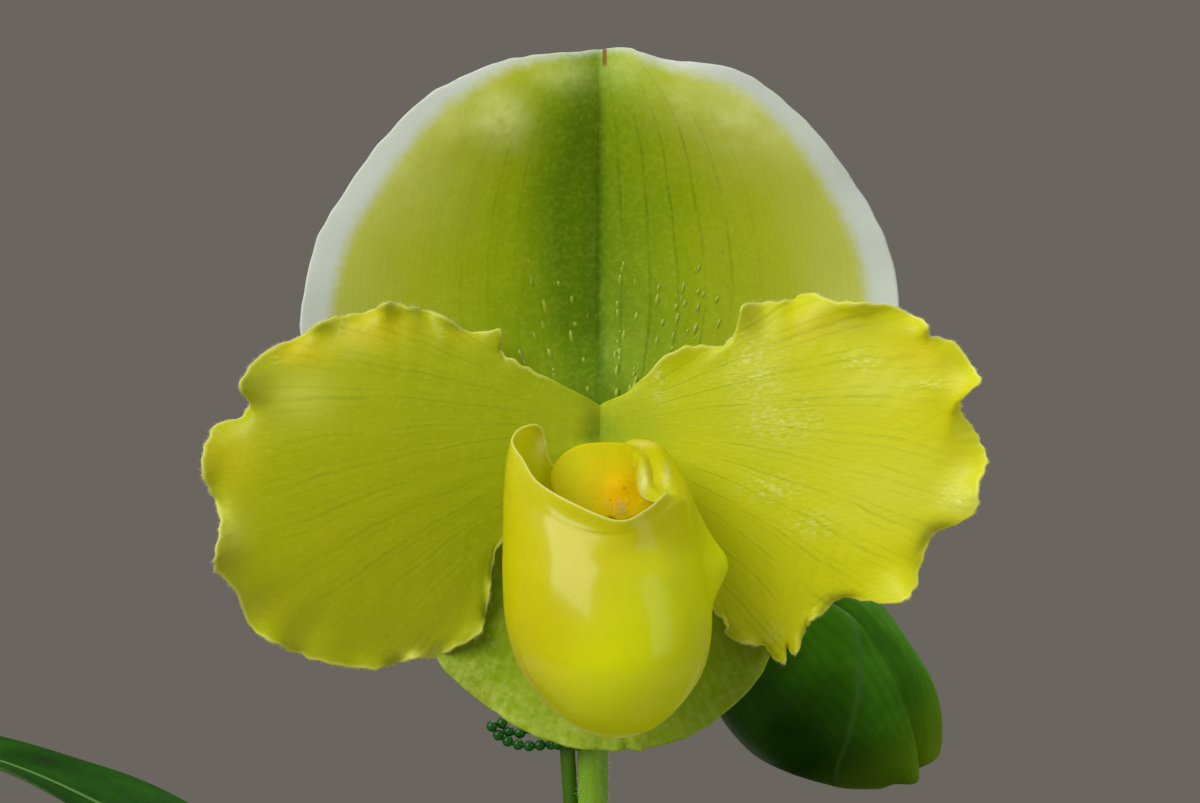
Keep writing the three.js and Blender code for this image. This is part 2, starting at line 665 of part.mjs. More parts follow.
function pouchGeometry() {
  const levels = POUCH_OVALS.length + 4;
  const sheet = gridSheet(levels, POUCH_SAMPLES, true, (row, turn) => {
    return pouchLevel(Math.round(row * (levels - 1)), turn);
  });
  const toe = sheet.points.length;
  const lastLevel = toe - POUCH_SAMPLES;
  sheet.points.push(vector(...POUCH_TOE));
  for (let sample = 0; sample < POUCH_SAMPLES; sample += 1) {
    sheet.triangles.push([lastLevel + sample, lastLevel + ((sample + 1) % POUCH_SAMPLES), toe]);
  }
  return thicken(sheet, PETAL_THICKNESS);
}

// The column carries the staminode, a shield that covers the back of the pouch's mouth.
function columnGeometry() {
  const curve = new THREE.CatmullRomCurve3([
    vector(0, 4.6, -COLUMN_DROP), vector(0, 0, -COLUMN_DROP),
    vector(0.4, -5.5, -COLUMN_DROP - 0.6), vector(0.9, -11, -COLUMN_DROP - 3),
  ]);
  const stub = tubeSolid((t) => curve.getPointAt(t), (t) => mix(COLUMN_RADIUS, 2.3, t), 6, 12);
  const shield = bladeGeometry({
    margin: [
      [0, 5.6, 0], [3.6, 5, 0.3], [6, 2.4, 0.6], [6.2, -1.2, 0.5], [4.4, -4.4, 0.2], [1.4, -5.8, 0],
      [0.4, -5.2, 0], [-1.2, -5.7, 0], [-4.4, -4.2, 0.2], [-6.6, -1, 0.5], [-6.4, 2.6, 0.6], [-3.6, 5, 0.3],
    ],
    middle: [0, 0],
    rings: [0.35, 0.7, 1],
    samples: 24,
    curl: 2,
    thickness: 1.4,
    depthAt: (x, z) => -1.6 + 0.045 * (x * x + z * z),
  });
  shield.rotateX(radians(-24));
  shield.translate(0.9, -12.6, -9.8);
  return fromManifold(toManifold(stub).add(toManifold(shield)));
}

// ---------------------------------------------------------------- second bud

// Half-shells wrapped round the bud's axis; the petals and lip are a closed core inside them.
function budFrame() {
  const base = vector(...BUD_BASE);
  const along = vector(...BUD_TIP).sub(base);
  const length = along.length();
  along.normalize();
  const toViewer = vector(0, -1, 0);
  const sideways = along.clone().cross(toViewer);
  return { base, along, length, toViewer, sideways };
}

// The bud swells to its widest at two fifths of its length and closes to a blunt tip.
function budRadius(t) {
  return BUD_RADIUS * Math.sin(Math.PI * (0.03 + 0.94 * t ** 0.8)) ** 0.7;
}

function budPoint(t, angle, radius) {
  const { base, along, length, toViewer, sideways } = budFrame();
  return base.clone()
    .addScaledVector(along, length * t)
    .addScaledVector(toViewer, radius * BUD_FLATNESS * Math.cos(angle))
    .addScaledVector(sideways, radius * Math.sin(angle));
}

// A sepal of the bud runs between two angles round the axis, with a keel and a flared tip.
function budSepalGeometry({ from, to, keelFrom, keelTo, flare }) {
  const sheet = gridSheet(11, 10, false, (row, column) => {
    const t = mix(0, 0.985, row);
    const angle = mix(from, to, column);
    const keelAngle = mix(keelFrom, keelTo, t);
    const keel = BUD_KEEL * Math.exp(-(((angle - keelAngle) / 16) ** 2)) * Math.sin(Math.PI * row);
    const open = flare * smooth(t, 0.66, 1) * Math.exp(-(((angle + 80) / 42) ** 2));
    return budPoint(t, radians(angle), budRadius(t) + keel + open);
  });
  return thicken(sheet, 1);
}

function budCoreGeometry() {
  const { base, along, length } = budFrame();
  const shrink = 1.1 + FIT_GAP;
  const radiusAt = (t) => Math.max(0.5, (budRadius(mix(0.12, 0.95, t)) - shrink) * 0.84);
  const pathAt = (t) => base.clone().addScaledVector(along, length * mix(0.12, 0.95, t));
  return tubeSolid(pathAt, radiusAt, 9, 14);
}

// ---------------------------------------------------------------- assembly

const orchid = new THREE.Group();
orchid.add(makeMesh('pot', potGeometry(), 0xb5653f, 0.9));
orchid.add(makeMesh('potting_bark', barkGeometry(), 0x5a3a24, 0.95));
LEAVES.forEach(({ name, ...shape }) => {
  orchid.add(makeMesh(name, leafGeometry(shape), 0x2f5a1a, 0.45));
});
orchid.add(makeMesh('flower_stem', flowerStemGeometry(), 0x6f8f3a, 0.6));
const bloomBract = bractGeometry(scapeCurve, 0.735, 0.86, vector(0, -0.2, -1), 95);
const budBract = bractGeometry(rachisCurve, 0.36, 0.72, vector(0.2, 1, 0.3), 95);
orchid.add(makeMesh('bloom_bract', bloomBract, 0x7a9a45, 0.6));
orchid.add(makeMesh('bud_bract', budBract, 0x7a9a45, 0.6));
orchid.add(makeMesh('stake', stakeGeometry(STAKE_RADIUS), 0x3c5a10, 0.4));
orchid.add(makeMesh('bead_tie', beadTieGeometry(), 0x14552a, 0.35));
const budFront = { from: -40, to: 105, keelFrom: -32, keelTo: 30, flare: 0 };
const budBack = { from: -251, to: -44, keelFrom: -100, keelTo: -90, flare: BUD_FLARE };
orchid.add(makeMesh('bud_dorsal_sepal', budSepalGeometry(budFront), 0x24500f, 0.45));
orchid.add(makeMesh('bud_synsepal', budSepalGeometry(budBack), 0x24500f, 0.45));
orchid.add(makeMesh('bud_petals', budCoreGeometry(), 0x6c9010, 0.45));

const flower = new THREE.Group();
flower.position.set(...FLOWER_CENTRE);
flower.rotation.x = radians(-FLOWER_NOD);
flower.add(makeMesh('dorsal_sepal', bladeGeometry(DORSAL_SEPAL), 0x9ab414, 0.5));
flower.add(makeMesh('synsepal', bladeGeometry(SYNSEPAL), 0x96af32, 0.5));
flower.add(makeMesh('petal_left', bladeGeometry(PETAL_LEFT), 0xb4b40f, 0.45));
flower.add(makeMesh('petal_right', bladeGeometry(PETAL_RIGHT), 0xc8c814, 0.45));
flower.add(makeMesh('pouch', pouchGeometry(), 0xc4be0a, 0.25));
flower.add(makeMesh('column', columnGeometry(), 0xd8b00a, 0.35));
orchid.add(flower);

export default orchid;
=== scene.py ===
import bpy
import numpy as np
from mathutils import Matrix, Vector


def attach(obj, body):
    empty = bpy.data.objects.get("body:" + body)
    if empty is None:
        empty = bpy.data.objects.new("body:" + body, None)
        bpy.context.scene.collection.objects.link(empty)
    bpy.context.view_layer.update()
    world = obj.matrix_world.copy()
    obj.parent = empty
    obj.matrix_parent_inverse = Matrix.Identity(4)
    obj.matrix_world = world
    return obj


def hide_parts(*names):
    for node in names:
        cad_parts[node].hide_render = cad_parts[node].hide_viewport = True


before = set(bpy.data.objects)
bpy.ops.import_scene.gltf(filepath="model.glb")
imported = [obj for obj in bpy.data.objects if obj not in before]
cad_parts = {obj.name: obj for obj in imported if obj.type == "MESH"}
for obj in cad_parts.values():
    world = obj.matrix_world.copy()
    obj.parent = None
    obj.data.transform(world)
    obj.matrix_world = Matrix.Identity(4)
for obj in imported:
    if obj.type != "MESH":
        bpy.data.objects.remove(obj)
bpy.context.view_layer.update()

# ---------------------------------------------------------------- clay pot
# A flowerpot of unglazed clay, turned on a wheel: a flat foot, a widening wall and a thicker collar.
# Four holes in its floor let the water out, and the water has left pale salts on the outside.


class Link:
    """An output of a shader node. Sums and products of links, or of links and numbers, add Math nodes."""

    def __init__(self, socket):
        self.socket = socket

    def node(self, kind, settings=None, sockets=None, output=0):
        """Adds a node of this type: its settings first, then the values or links of its sockets."""
        tree = self.socket.id_data
        made = tree.nodes.new("ShaderNode" + kind)
        for name, value in (settings or {}).items():
            if name == "stops":
                stops = made.color_ramp.elements
                stops[0].position, stops[0].color = value[0]
                stops[1].position, stops[1].color = value[-1]
                for place, shade in value[1:-1]:
                    stops.new(place).color = shade
            else:
                setattr(made, name, value)
        for name, value in (sockets or {}).items():
            if isinstance(value, Link):
                tree.links.new(value.socket, made.inputs[name])
            else:
                made.inputs[name].default_value = value
        return Link(made.outputs[output])

    def maths(self, operation, *others):
        return self.node("Math", {"operation": operation}, dict(enumerate((self, *others))))

    def __add__(self, other):
        return self.maths("ADD", other)

    def __sub__(self, other):
        return self.maths("SUBTRACT", other)

    def __rsub__(self, other):
        return self.node("Math", {"operation": "SUBTRACT"}, {0: other, 1: self})

    def __mul__(self, other):
        return self.maths("MULTIPLY", other)

    def __truediv__(self, other):
        return self.maths("DIVIDE", other)

    __radd__ = __add__
    __rmul__ = __mul__

    def step(self, low, high):
        """0 below low, 1 above high, and an even S-curve between them."""
        settings = {"interpolation_type": "SMOOTHSTEP"}
        return self.node("MapRange", settings, {"Value": self, "From Min": low, "From Max": high})

    def blend(self, low, high):
        """The first colour where this is 0, the second where it is 1: links or everyday colours."""
        low, high = (shade if isinstance(shade, Link) else colour(*shade) for shade in (low, high))
        return self.node("Mix", {"data_type": "RGBA"}, {0: self, 6: low, 7: high}, 2)

    def under(self, *coats):
        """On a colour: others laid over it in turn, each a link for its cover and an everyday colour."""
        shown = self
        for cover, *shade in coats:
            shown = cover.blend(shown, shade)
        return shown

    def ramp(self, *stops):
        """Everyday colours, each after its place from 0 to 1, blended by this value."""
        stops = [(place, colour(*shade)) for place, *shade in stops]
        return self.node("ValToRGB", {"stops": stops}, {"Fac": self})

    def part(self, axis):
        """On coordinates: the one along X, Y or Z, in millimetres."""
        return self.node("SeparateXYZ", {}, {0: self}, axis) * 1000

    def stretched(self, *scale, tilt=(0, 0, 0)):
        """On coordinates: a pattern on them is drawn out along each axis whose scale is below one."""
        return self.node("Mapping", {}, {"Vector": self, "Scale": scale, "Rotation": tilt})

    def grain(self, width, detail=2.0, roughness=0.5):
        """On coordinates: noise round 0.5 in patches about width millimetres across."""
        sockets = {"Vector": self, "Scale": 1000 / width, "Detail": detail, "Roughness": roughness}
        return self.node("TexNoise", {}, sockets)

    def relief(self, depth, under=None):
        """On a height from 0 to 1: the normal of a surface raised by depth, over another relief."""
        sockets = {"Height": self, "Distance": depth / 1000}
        if under is not None:
            sockets["Normal"] = under
        return self.node("Bump", {}, sockets)

    def line(self, width, spacing=1.0):
        """On a coordinate in steps of spacing millimetres: 1 on a line of that width at each step."""
        aside = ((self + 0.5).maths("FRACT") - 0.5).maths("ABSOLUTE") * spacing
        return 1 - aside.step(width * 0.2, width)

    def carried(self, name):
        """The value that the mesh carries under this name."""
        return self.node("Attribute", {"attribute_name": name}, {}, "Fac")


def colour(red, green, blue):
    """An everyday 0 to 255 colour as the linear values that a shader takes."""
    share = np.array([red, green, blue]) / 255
    linear = np.where(share > 0.04045, ((share + 0.055) / 1.055) ** 2.4, share / 12.92)
    return (*linear.tolist(), 1.0)


def finish(name, constants):
    """A Principled material with constants set on its own sockets, and its Object coordinates."""
    material = bpy.data.materials.new(name)
    material.use_nodes = True
    for socket, value in constants.items():
        material.node_tree.nodes["Principled BSDF"].inputs[socket].default_value = value
    return material, Link(material.node_tree.nodes.new("ShaderNodeTexCoord").outputs["Object"])


def wear(material, links):
    """Connects links to the material's own sockets."""
    for socket, link in links.items():
        material.node_tree.links.new(link.socket, material.node_tree.nodes["Principled BSDF"].inputs[socket])


def put_in_place(name, rings, material, slot, *nodes, ends=None, smooth=True, **carried):
    """A closed piece from rings of points shaped (rows, columns, 3), or a set of alike ones shaped
    (number, rows, columns, 3). Triangles close each end on its middle, or on the points given as ends."""
    rings = np.asarray(rings, float)
    rings = rings.reshape(-1, *rings.shape[-3:])
    number, rows, columns, _ = rings.shape
    column = np.arange(columns)
    beside = (column + 1) % columns
    row = 1 + columns * np.arange(rows - 1)[:, None]
    quads = np.stack([row + column, row + beside, row + columns + beside, row + columns + column], -1)
    quads = quads.reshape(-1, 4)
    last = 1 + columns * (rows - 1)
    size = last + columns + 1
    start_fan = np.stack([0 * column, beside + 1, column + 1], -1)
    end_fan = np.stack([0 * column + size - 1, last + column, last + beside], -1)
    fans = np.concatenate([start_fan, end_fan])

    def closed(values, ends=None):
        first, final = (values[:, 0].mean(1), values[:, -1].mean(1)) if ends is None else ends
        whole = [part.reshape(number, -1, values.shape[-1]) for part in (first, values, final)]
        return np.concatenate(whole, axis=1).reshape(number * size, -1)

    points = closed(rings, ends)
    sample = np.concatenate([quads[:, [0, 1, 2]], quads[:, [0, 2, 3]], fans])
    a, b, c = (points[sample[:, k]] - points[0] for k in range(3))
    if (a * np.cross(b, c)).sum() < 0:
        quads, fans = quads[:, ::-1], fans[:, ::-1]
    shift = size * np.arange(number)[:, None, None]
    faces = (quads + shift).reshape(-1, 4).tolist() + (fans + shift).reshape(-1, 3).tolist()
    mesh = bpy.data.meshes.new(name)
    mesh.from_pydata((points / 1000).tolist(), [], faces)
    mesh.polygons.foreach_set("use_smooth", [smooth] * len(faces))
    for key, values in carried.items():
        values = closed(np.broadcast_to(values, rings.shape[:3])[..., None]).ravel()
        mesh.attributes.new(key, "FLOAT", "POINT").data.foreach_set("value", values.astype(np.float32))
    mesh.materials.append(material)
    piece = bpy.data.objects.new(name, mesh)
    bpy.context.scene.collection.objects.link(piece)
    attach(piece, "root")
    if nodes:
        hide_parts(*nodes)
    return piece


def run_along(points):
    """How far along its line each point lies. The lines run down the first axis of the array."""
    steps = np.linalg.norm(np.diff(points, axis=0), axis=-1)
    return np.concatenate([0 * steps[:1], np.cumsum(steps, axis=0)])


def point_at(place, run, points):
    """The points at these places along a line that goes straight from point to point, which lie at run."""
    return np.stack([np.interp(place, run, points[:, k]) for k in range(points.shape[1])], axis=-1)


def evened(values, times):
    """Averages each row with the rows beside it, so many times. The first and last rows stay."""
    for _ in range(times):
        values[1:-1] = (values[:-2] + 2 * values[1:-1] + values[2:]) / 4
    return values


def rounded(profile, spacing, softness):
    """Walks a profile in even steps and averages each point with its neighbours: it rounds the corners."""
    corner = np.array(profile, float)
    run = run_along(corner)
    return evened(point_at(np.linspace(0, run[-1], int(run[-1] / spacing)), run, corner), softness)


def circle(columns):
    """So many angles evenly round a full turn."""
    return np.linspace(0, 2 * np.pi, columns, endpoint=False)


def turned(profile, columns):
    """Rings of a profile of radius and height carried round the upright axis."""
    angle = circle(columns)
    radius, height = profile[:, :1], profile[:, 1:]
    return np.stack([radius * np.cos(angle), radius * np.sin(angle), height + 0 * angle], axis=-1)


pot_profile = [
    (0.5, 6), (38, 6), (50, 102.5), (51.5, 104), (58.5, 104), (60, 102.5), (60, 90), (59, 87.5), (54.5, 86),
    (42, 1.5), (40.5, 0), (0.5, 0),
]
ridge_height, ridge_pitch, floor_radius, floor_top = 0.14, 3.4, 36, 7
wall = rounded(pot_profile, 1.1, 3)
ridges = np.sin(2 * np.pi * wall[:, 1] / ridge_pitch + 1.7 * np.sin(wall[:, 1] / 11))
wall[:, 0] += ridge_height * ridges * (wall[:, 0] > floor_radius) * (wall[:, 1] > floor_top)

clay, place = finish("terracotta clay", {"Specular IOR Level": 0.25})
height = place.part("Z")
patch = place.grain(28, 5, 0.6)
speck = place.grain(0.9, 3)
fired = (patch * 0.75 + speck * 0.25).blend((150, 82, 55), (196, 122, 86))
salts = (place.grain(17, 8, 0.65) - height * 0.0028).step(0.36, 0.6) * (1 - height.step(80, 86) * 0.7)
salts = salts + (place.grain(9, 8, 0.7) + height.step(60, 88) * 0.1).step(0.56, 0.7)
salts = salts.maths("MINIMUM", 1.0) * speck.step(0.25, 0.6)
damp = 1 - height.step(4, 26)
wear(clay, {
    "Base Color": fired.under((salts * 0.75, 214, 198, 180), (damp * 0.35 * patch, 96, 52, 36)),
    "Roughness": 0.92 - damp * 0.2,
    "Normal": (place.grain(0.35) * 0.5 + speck * 0.5).relief(0.12, place.grain(6, 4).relief(0.35)),
})
pot = put_in_place("clay_pot", turned(wall, 132), clay, "terracotta", "pot")

drain_radius, drain_circle, drain_count = 5, 20, 4
turn = 2 * np.pi * (np.arange(drain_count) + 0.5) / drain_count
centres = drain_circle * np.stack([np.cos(turn), np.sin(turn), 0 * turn], -1)
drill = turned(np.array([(drain_radius, -3), (drain_radius, 9)]), 32)
drills = put_in_place("drills", drill + centres[:, None, None], clay, "terracotta")
cut = pot.modifiers.new("drain holes", "BOOLEAN")
cut.operation, cut.object, cut.solver = "DIFFERENCE", drills, "EXACT"
bpy.context.view_layer.update()
drained = bpy.data.meshes.new_from_object(pot.evaluated_get(bpy.context.evaluated_depsgraph_get()))
pot.modifiers.clear()
pot.data = drained
bpy.data.objects.remove(drills)

# ---------------------------------------------------------------- potting bark
# The pot is filled with chipped fir bark: flat, broken chips lying on a darker bed of the same.
# Its top lies a finger's width below the rim, and two growths of leaves stand in it.

growth_a, growth_b = (0, 0), (4, 27)
bark_top, bed_radius = 89, 47.6
chip_count, clear_of_a, clear_of_b = 190, 13, 11.5
golden_angle = np.pi * (3 - np.sqrt(5))


def ripple(across, along, pitch, seed):
    """Smooth noise, mostly from -1 to 1: the sum of seven waves of about that pitch at any angle."""
    draw = np.random.default_rng(seed)
    total = 0
    for _ in range(7):
        heading, phase, size = draw.uniform(0, 2 * np.pi), draw.uniform(0, 2 * np.pi), draw.uniform(0.7, 1.5)
        distance = across * np.cos(heading) + along * np.sin(heading)
        total = total + np.sin(distance * size * 2 * np.pi / pitch + phase)
    return total / 2.6


bark, place = finish("fir bark", {"Roughness": 0.9, "Specular IOR Level": 0.25})
fibre = place.stretched(1, 1, 3, tilt=(0.4, 0.3, 0.2)).grain(2.4, 6, 0.65)
tone = place.carried("tint") * 0.35 + fibre * 0.4 + place.grain(8) * 0.3
wear(bark, {
    "Base Color": tone.ramp((0.3, 38, 24, 16), (0.47, 82, 52, 33), (0.6, 122, 80, 52), (0.78, 156, 118, 86)),
    "Normal": fibre.relief(0.9, place.grain(0.7, 3).relief(0.15)),
})

bed_profile = [(0.5, 84), (bed_radius, 84), (47.8, 82), (45.5, 66), (0.5, 66)]
bed = turned(rounded(bed_profile, 1.5, 1), 90)
bed[..., 2] += 1.6 * ripple(bed[..., 0], bed[..., 1], 9, 3) * (bed[..., 2] > 82)
put_in_place("bark_bed", bed, bark, "bark", "potting_bark", tint=0.1)

draw = np.random.default_rng(7)
count = np.arange(chip_count)
reach = (bed_radius - 6.5) * np.sqrt((count + 0.5) / chip_count)
turn = count * golden_angle
upper_layer = count % 2
middle = np.stack([reach * np.cos(turn), reach * np.sin(turn), bark_top - 4 + 4.2 * upper_layer], -1)
middle[:, 2] += draw.uniform(-1, 1.2, chip_count)
clear = np.hypot(middle[:, 0], middle[:, 1]) > clear_of_a
clear &= np.hypot(middle[:, 0] - growth_b[0], middle[:, 1] - growth_b[1]) > clear_of_b
middle = middle[clear]
kept = len(middle)
size = np.stack([draw.uniform(low, high, kept) for low, high in ((4.5, 8.5), (3.2, 5.6), (1.4, 2.6))], -1)
upward = np.linspace(-0.46 * np.pi, 0.46 * np.pi, 7)[:, None]
round_it = circle(11)[None]


def boxy(angle, wave):
    """A cosine or sine whose size is raised to a power below one, which squares off a ball."""
    return np.sign(wave(angle)) * np.abs(wave(angle)) ** 0.5


block = np.stack([
    boxy(upward, np.cos) * boxy(round_it, np.cos),
    boxy(upward, np.cos) * boxy(round_it, np.sin),
    boxy(upward, np.sin) + 0 * round_it,
], -1)
pulled = 1 + 0.22 * draw.standard_normal((kept, *block.shape[:2], 1)).clip(-1.6, 1.6) * [1, 1, 0.7]
chips = block * size[:, None, None] * pulled
pitch, roll, yaw = draw.normal(0, 0.3, kept), draw.normal(0, 0.3, kept), draw.uniform(0, 2 * np.pi, kept)


def turning(angle, axis):
    """Rotation matrices about one of the three axes, one for each angle."""
    matrix = np.zeros((len(angle), 3, 3))
    first, second = (axis + 1) % 3, (axis + 2) % 3
    matrix[:, axis, axis] = 1
    matrix[:, first, first] = matrix[:, second, second] = np.cos(angle)
    matrix[:, second, first] = np.sin(angle)
    matrix[:, first, second] = -np.sin(angle)
    return matrix


chips = np.einsum("nij,nrcj->nrci", turning(yaw, 2) @ turning(pitch, 1) @ turning(roll, 0), chips)
chips += middle[:, None, None]
put_in_place("bark_chips", chips, bark, "bark", smooth=False, tint=draw.uniform(0, 1, (kept, 1, 1)))

# ---------------------------------------------------------------- leaves
# Eight strap leaves in two fans. Each clasps its growth as half a sheath, then opens, arches out and
# narrows to its tip. They are thick and waxy, grooved along the midrib above and keeled below.

planting_depth, sheath_top = 66, 96
sheath_angle, sheath_length, open_length = np.radians(72), 30, 88
leaf_thickness = 1.2


def ease(value, low, high):
    """0 below low, 1 above high, and an even S-curve between them."""
    share = np.clip((value - low) / (high - low), 0, 1)
    return share * share * (3 - 2 * share)


def unit(vectors):
    return vectors / np.maximum(np.linalg.norm(vectors, axis=-1, keepdims=True), 1e-9)


def smooth_through(points, steps):
    """A smooth curve through the points, or through rows of them, in so many steps a span. Its speed at
    each point follows the square root of the distances beside it."""
    p = np.array(points, float)
    p = np.concatenate([2 * p[:1] - p[1:2], p, 2 * p[-1:] - p[-2:-1]])
    pace = np.sqrt(np.linalg.norm(np.diff(p, axis=0), axis=-1, keepdims=True))
    before, own, after = pace[:-2], pace[1:-1], pace[2:]
    start, end = p[1:-2], p[2:-1]
    leave = own * ((start - p[:-3]) / before - (end - p[:-3]) / (before + own) + (end - start) / own)
    arrive = own * ((end - start) / own - (p[3:] - start) / (own + after) + (p[3:] - end) / after)
    t = np.linspace(0, 1, steps, endpoint=False).reshape(-1, *[1] * p.ndim)
    cubic = start + leave * t + (3 * (end - start) - 2 * leave - arrive) * t**2
    cubic = cubic + (2 * (start - end) + leave + arrive) * t**3
    return np.concatenate([np.moveaxis(cubic, 0, 1).reshape(-1, *p.shape[1:]), p[-2:-1]])


def path_through(points):
    """A smooth curve through the points as a function of the share of its length, and that length."""
    fine = smooth_through(points, 60)
    run = run_along(fine)

    def at(share):
        return point_at(share * run[-1], run, fine)

    return at, run[-1]


def two_faced(sheet, above, below):
    """Closed rings round an open sheet: its points moved above millimetres along the cross product of its
    two directions, then, coming back, below millimetres the other way."""
    normal = unit(np.cross(np.gradient(sheet, axis=0), np.gradient(sheet, axis=1)))
    lower = sheet - normal * below[..., None]
    return np.concatenate([sheet + normal * above[..., None], lower[:, -2:0:-1]], axis=1)


def put_sheet(name, sheet, above, below, material, slot, **carried):
    """Puts a sheet with two faces in place of the part of its own name. What it carries is a value for
    both faces, or a pair of values, for the upper face and the lower."""
    for key, values in carried.items():
        pair = values if isinstance(values, tuple) else (values, values)
        upper, lower = (np.broadcast_to(face, sheet.shape[:2]) for face in pair)
        carried[key] = np.concatenate([upper, lower[:, -2:0:-1]], axis=1)
    put_in_place(name, two_faced(sheet, above, below), material, slot, name, **carried)


def edge_to_edge(columns):
    """From -1 at one edge of a sheet to 1 at the other, closer together near both."""
    return np.sin(np.linspace(-np.pi / 2, np.pi / 2, columns))


def tissue(name, shine, glow, reach, constants=None):
    """The finish of living tissue: how much its surface mirrors, how much light enters it, and how far
    red, green and blue light travel in it."""
    return finish(name, {
        "Specular IOR Level": shine, "Subsurface Weight": glow, "Subsurface Scale": 0.002,
        "Subsurface Radius": reach, **(constants or {}),
    })


leaf_green, place = tissue("leaf", 0.02, 0.08, (0.4, 1.0, 0.1))
across, along = place.carried("across"), place.carried("along")
cells = place.grain(14, 3, 0.6)
fine_vein = (across * 1.1 + place.grain(30) * 0.4).line(0.3)
midrib = (1 - across.maths("ABSOLUTE").step(0.35, 1.1)) * along.step(40, 90)
wear(leaf_green, {
    "Base Color": cells.ramp((0.3, 12, 48, 0), (0.5, 18, 66, 0), (0.7, 30, 82, 0)).under(
        (fine_vein * 0.22, 56, 98, 18),
        (midrib * 0.75, 112, 154, 80),
        (1 - along.step(24, 60), 128, 142, 78),
        (place.carried("under") * 0.6, 98, 134, 62),
    ),
    "Roughness": 0.42 + place.grain(3) * 0.14,
    "Normal": (place.grain(0.5) * 0.5 + fine_vein * 0.5).relief(0.04, cells.relief(0.25)),
})


def grow_leaf(name, growth, azimuth, ring, veer, roll, fold, half_width, route, rows=110, columns=49):
    """A strap of points: each row lies square to the route, which leaves the growth at azimuth and veers
    towards its end. The strap bends round the growth at its foot, and its halves fold up at the midrib."""
    upright = [(ring, planting_depth), (ring, (planting_depth + sheath_top) / 2), (ring, sheath_top)]
    at, length = path_through([(out, 0, height) for out, height in upright + route])
    share = np.linspace(0, 1, rows)
    walked = share * length
    heading = np.radians(azimuth + veer * ease(share, 0.05, 1))
    out, _, height = at(share).T
    spine = np.stack([growth[0] + out * np.cos(heading), growth[1] + out * np.sin(heading), height], -1)
    ahead = unit(np.gradient(spine, axis=0))
    level = np.stack([-np.sin(heading), np.cos(heading), 0 * heading], -1)
    inward = unit(np.cross(ahead, level))
    level = np.cross(inward, ahead)
    tip = np.radians(roll) * ease(walked, sheath_length + 20, length * 0.8)[:, None]
    width = half_width * (1 - np.maximum(0, (share - 0.42) / 0.6) ** 2.3) ** 0.75
    opening = ease(walked, sheath_length, open_length)
    widest = ring * sheath_angle * (1 - opening) + width * opening
    edge = edge_to_edge(columns)
    reach = widest[:, None] * edge
    bend = (1 / ring + (0.006 - 1 / ring) * ease(walked, sheath_length, open_length - 10))[:, None]
    side = np.sin(bend * reach) / bend
    folded = fold * ease(walked, sheath_length + 10, open_length + 20)[:, None]
    rise = (1 - np.cos(bend * reach)) / bend + folded * (np.hypot(reach, 0.7) - 0.7)
    open_part = ease(walked, 60, 110)[:, None]
    rise = rise + open_part * 0.35 * ripple(walked[:, None], reach, 46, int(route[-1][0])) * edge**2
    sheet = spine[:, None] + level[:, None] * (side * np.cos(tip) - rise * np.sin(tip))[..., None]
    sheet = sheet + inward[:, None] * (side * np.sin(tip) + rise * np.cos(tip))[..., None]
    half = leaf_thickness / 2 * (1 - edge**6) ** 0.5 * (0.55 + 0.45 * (1 - edge**2))
    groove = 0.25 * np.exp(-((reach / 0.7) ** 2)) * open_part
    keel = 0.9 * np.exp(-((reach / 1.1) ** 2)) * open_part * (1 - share[:, None] ** 3)
    put_sheet(name, sheet, half - groove, half + keel, leaf_green, "leaf",
              across=reach, along=walked[:, None], under=(0.0, 1.0))


grow_leaf("leaf_a1", growth_a, -8, 9, -14, -3, 0.1, 18,
          [(13, 106), (34, 126), (72, 137), (112, 134), (148, 119), (172, 100)])
grow_leaf("leaf_a2", growth_a, 172, 9, 16, -6, 0.1, 18.5,
          [(13, 107), (33, 130), (70, 146), (110, 146), (146, 133), (174, 112)])
grow_leaf("leaf_a3", growth_a, -8, 7.4, 12, 4, 0.12, 18,
          [(12, 112), (29, 143), (60, 164), (100, 169), (138, 158), (166, 140)])
grow_leaf("leaf_a4", growth_a, 172, 7.4, -11, 12, 0.1, 19.5,
          [(10.5, 114), (25, 144), (54, 168.6), (84, 182.4), (114, 191.2), (152, 191.6), (190, 178)], 200, 65)
grow_leaf("leaf_a5", growth_a, -8, 5.6, -22, -4, 0.14, 15,
          [(7.3, 120), (17, 150), (37, 172), (66, 184), (94, 184), (118, 175)])
grow_leaf("leaf_b1", growth_b, 8, 7.4, 34, 3, 0.1, 16,
          [(11, 106), (30, 127), (62, 138), (96, 134), (126, 119), (146, 102)])
grow_leaf("leaf_b2", growth_b, 172, 7.4, -40, -3, 0.1, 16,
          [(10.5, 107), (28, 130), (58, 142), (92, 140), (122, 127), (144, 108)])
grow_leaf("leaf_b3", growth_b, 8, 5.8, 64, 0, 0.14, 13.5,
          [(8, 112), (19, 138), (40, 156), (66, 161), (92, 152), (112, 136)])

# ---------------------------------------------------------------- flower stem
# One upright stem, covered in short pale hairs. It bends forward into the ribbed ovary of the open
# flower, and a second stalk arches back and to the right to carry the bud.

stem_radius, ovary_radius, node_height = 2.55, 3.1, 232
scape_ovary, bud_ovary = 0.78, 0.45
scape_at, _ = path_through([
    (0, 0, planting_depth), (0, 0, 120), (0, 0, 180), (0, 0, node_height), (0.1, -3.5, 247),
    (0.5, -14, 256.5), (0.9, -27, 259.5), (1.2, -36.8, 258.5),
])
rachis_at, _ = path_through([
    (0, 0, node_height - 6), (0.4, 2.5, 239), (2, 6, 247), (8, 11, 254), (16, 14, 252), (21.5, 14.2, 242),
    (24.2, 14, 232.6), (26.5, 14, 226.7),
])


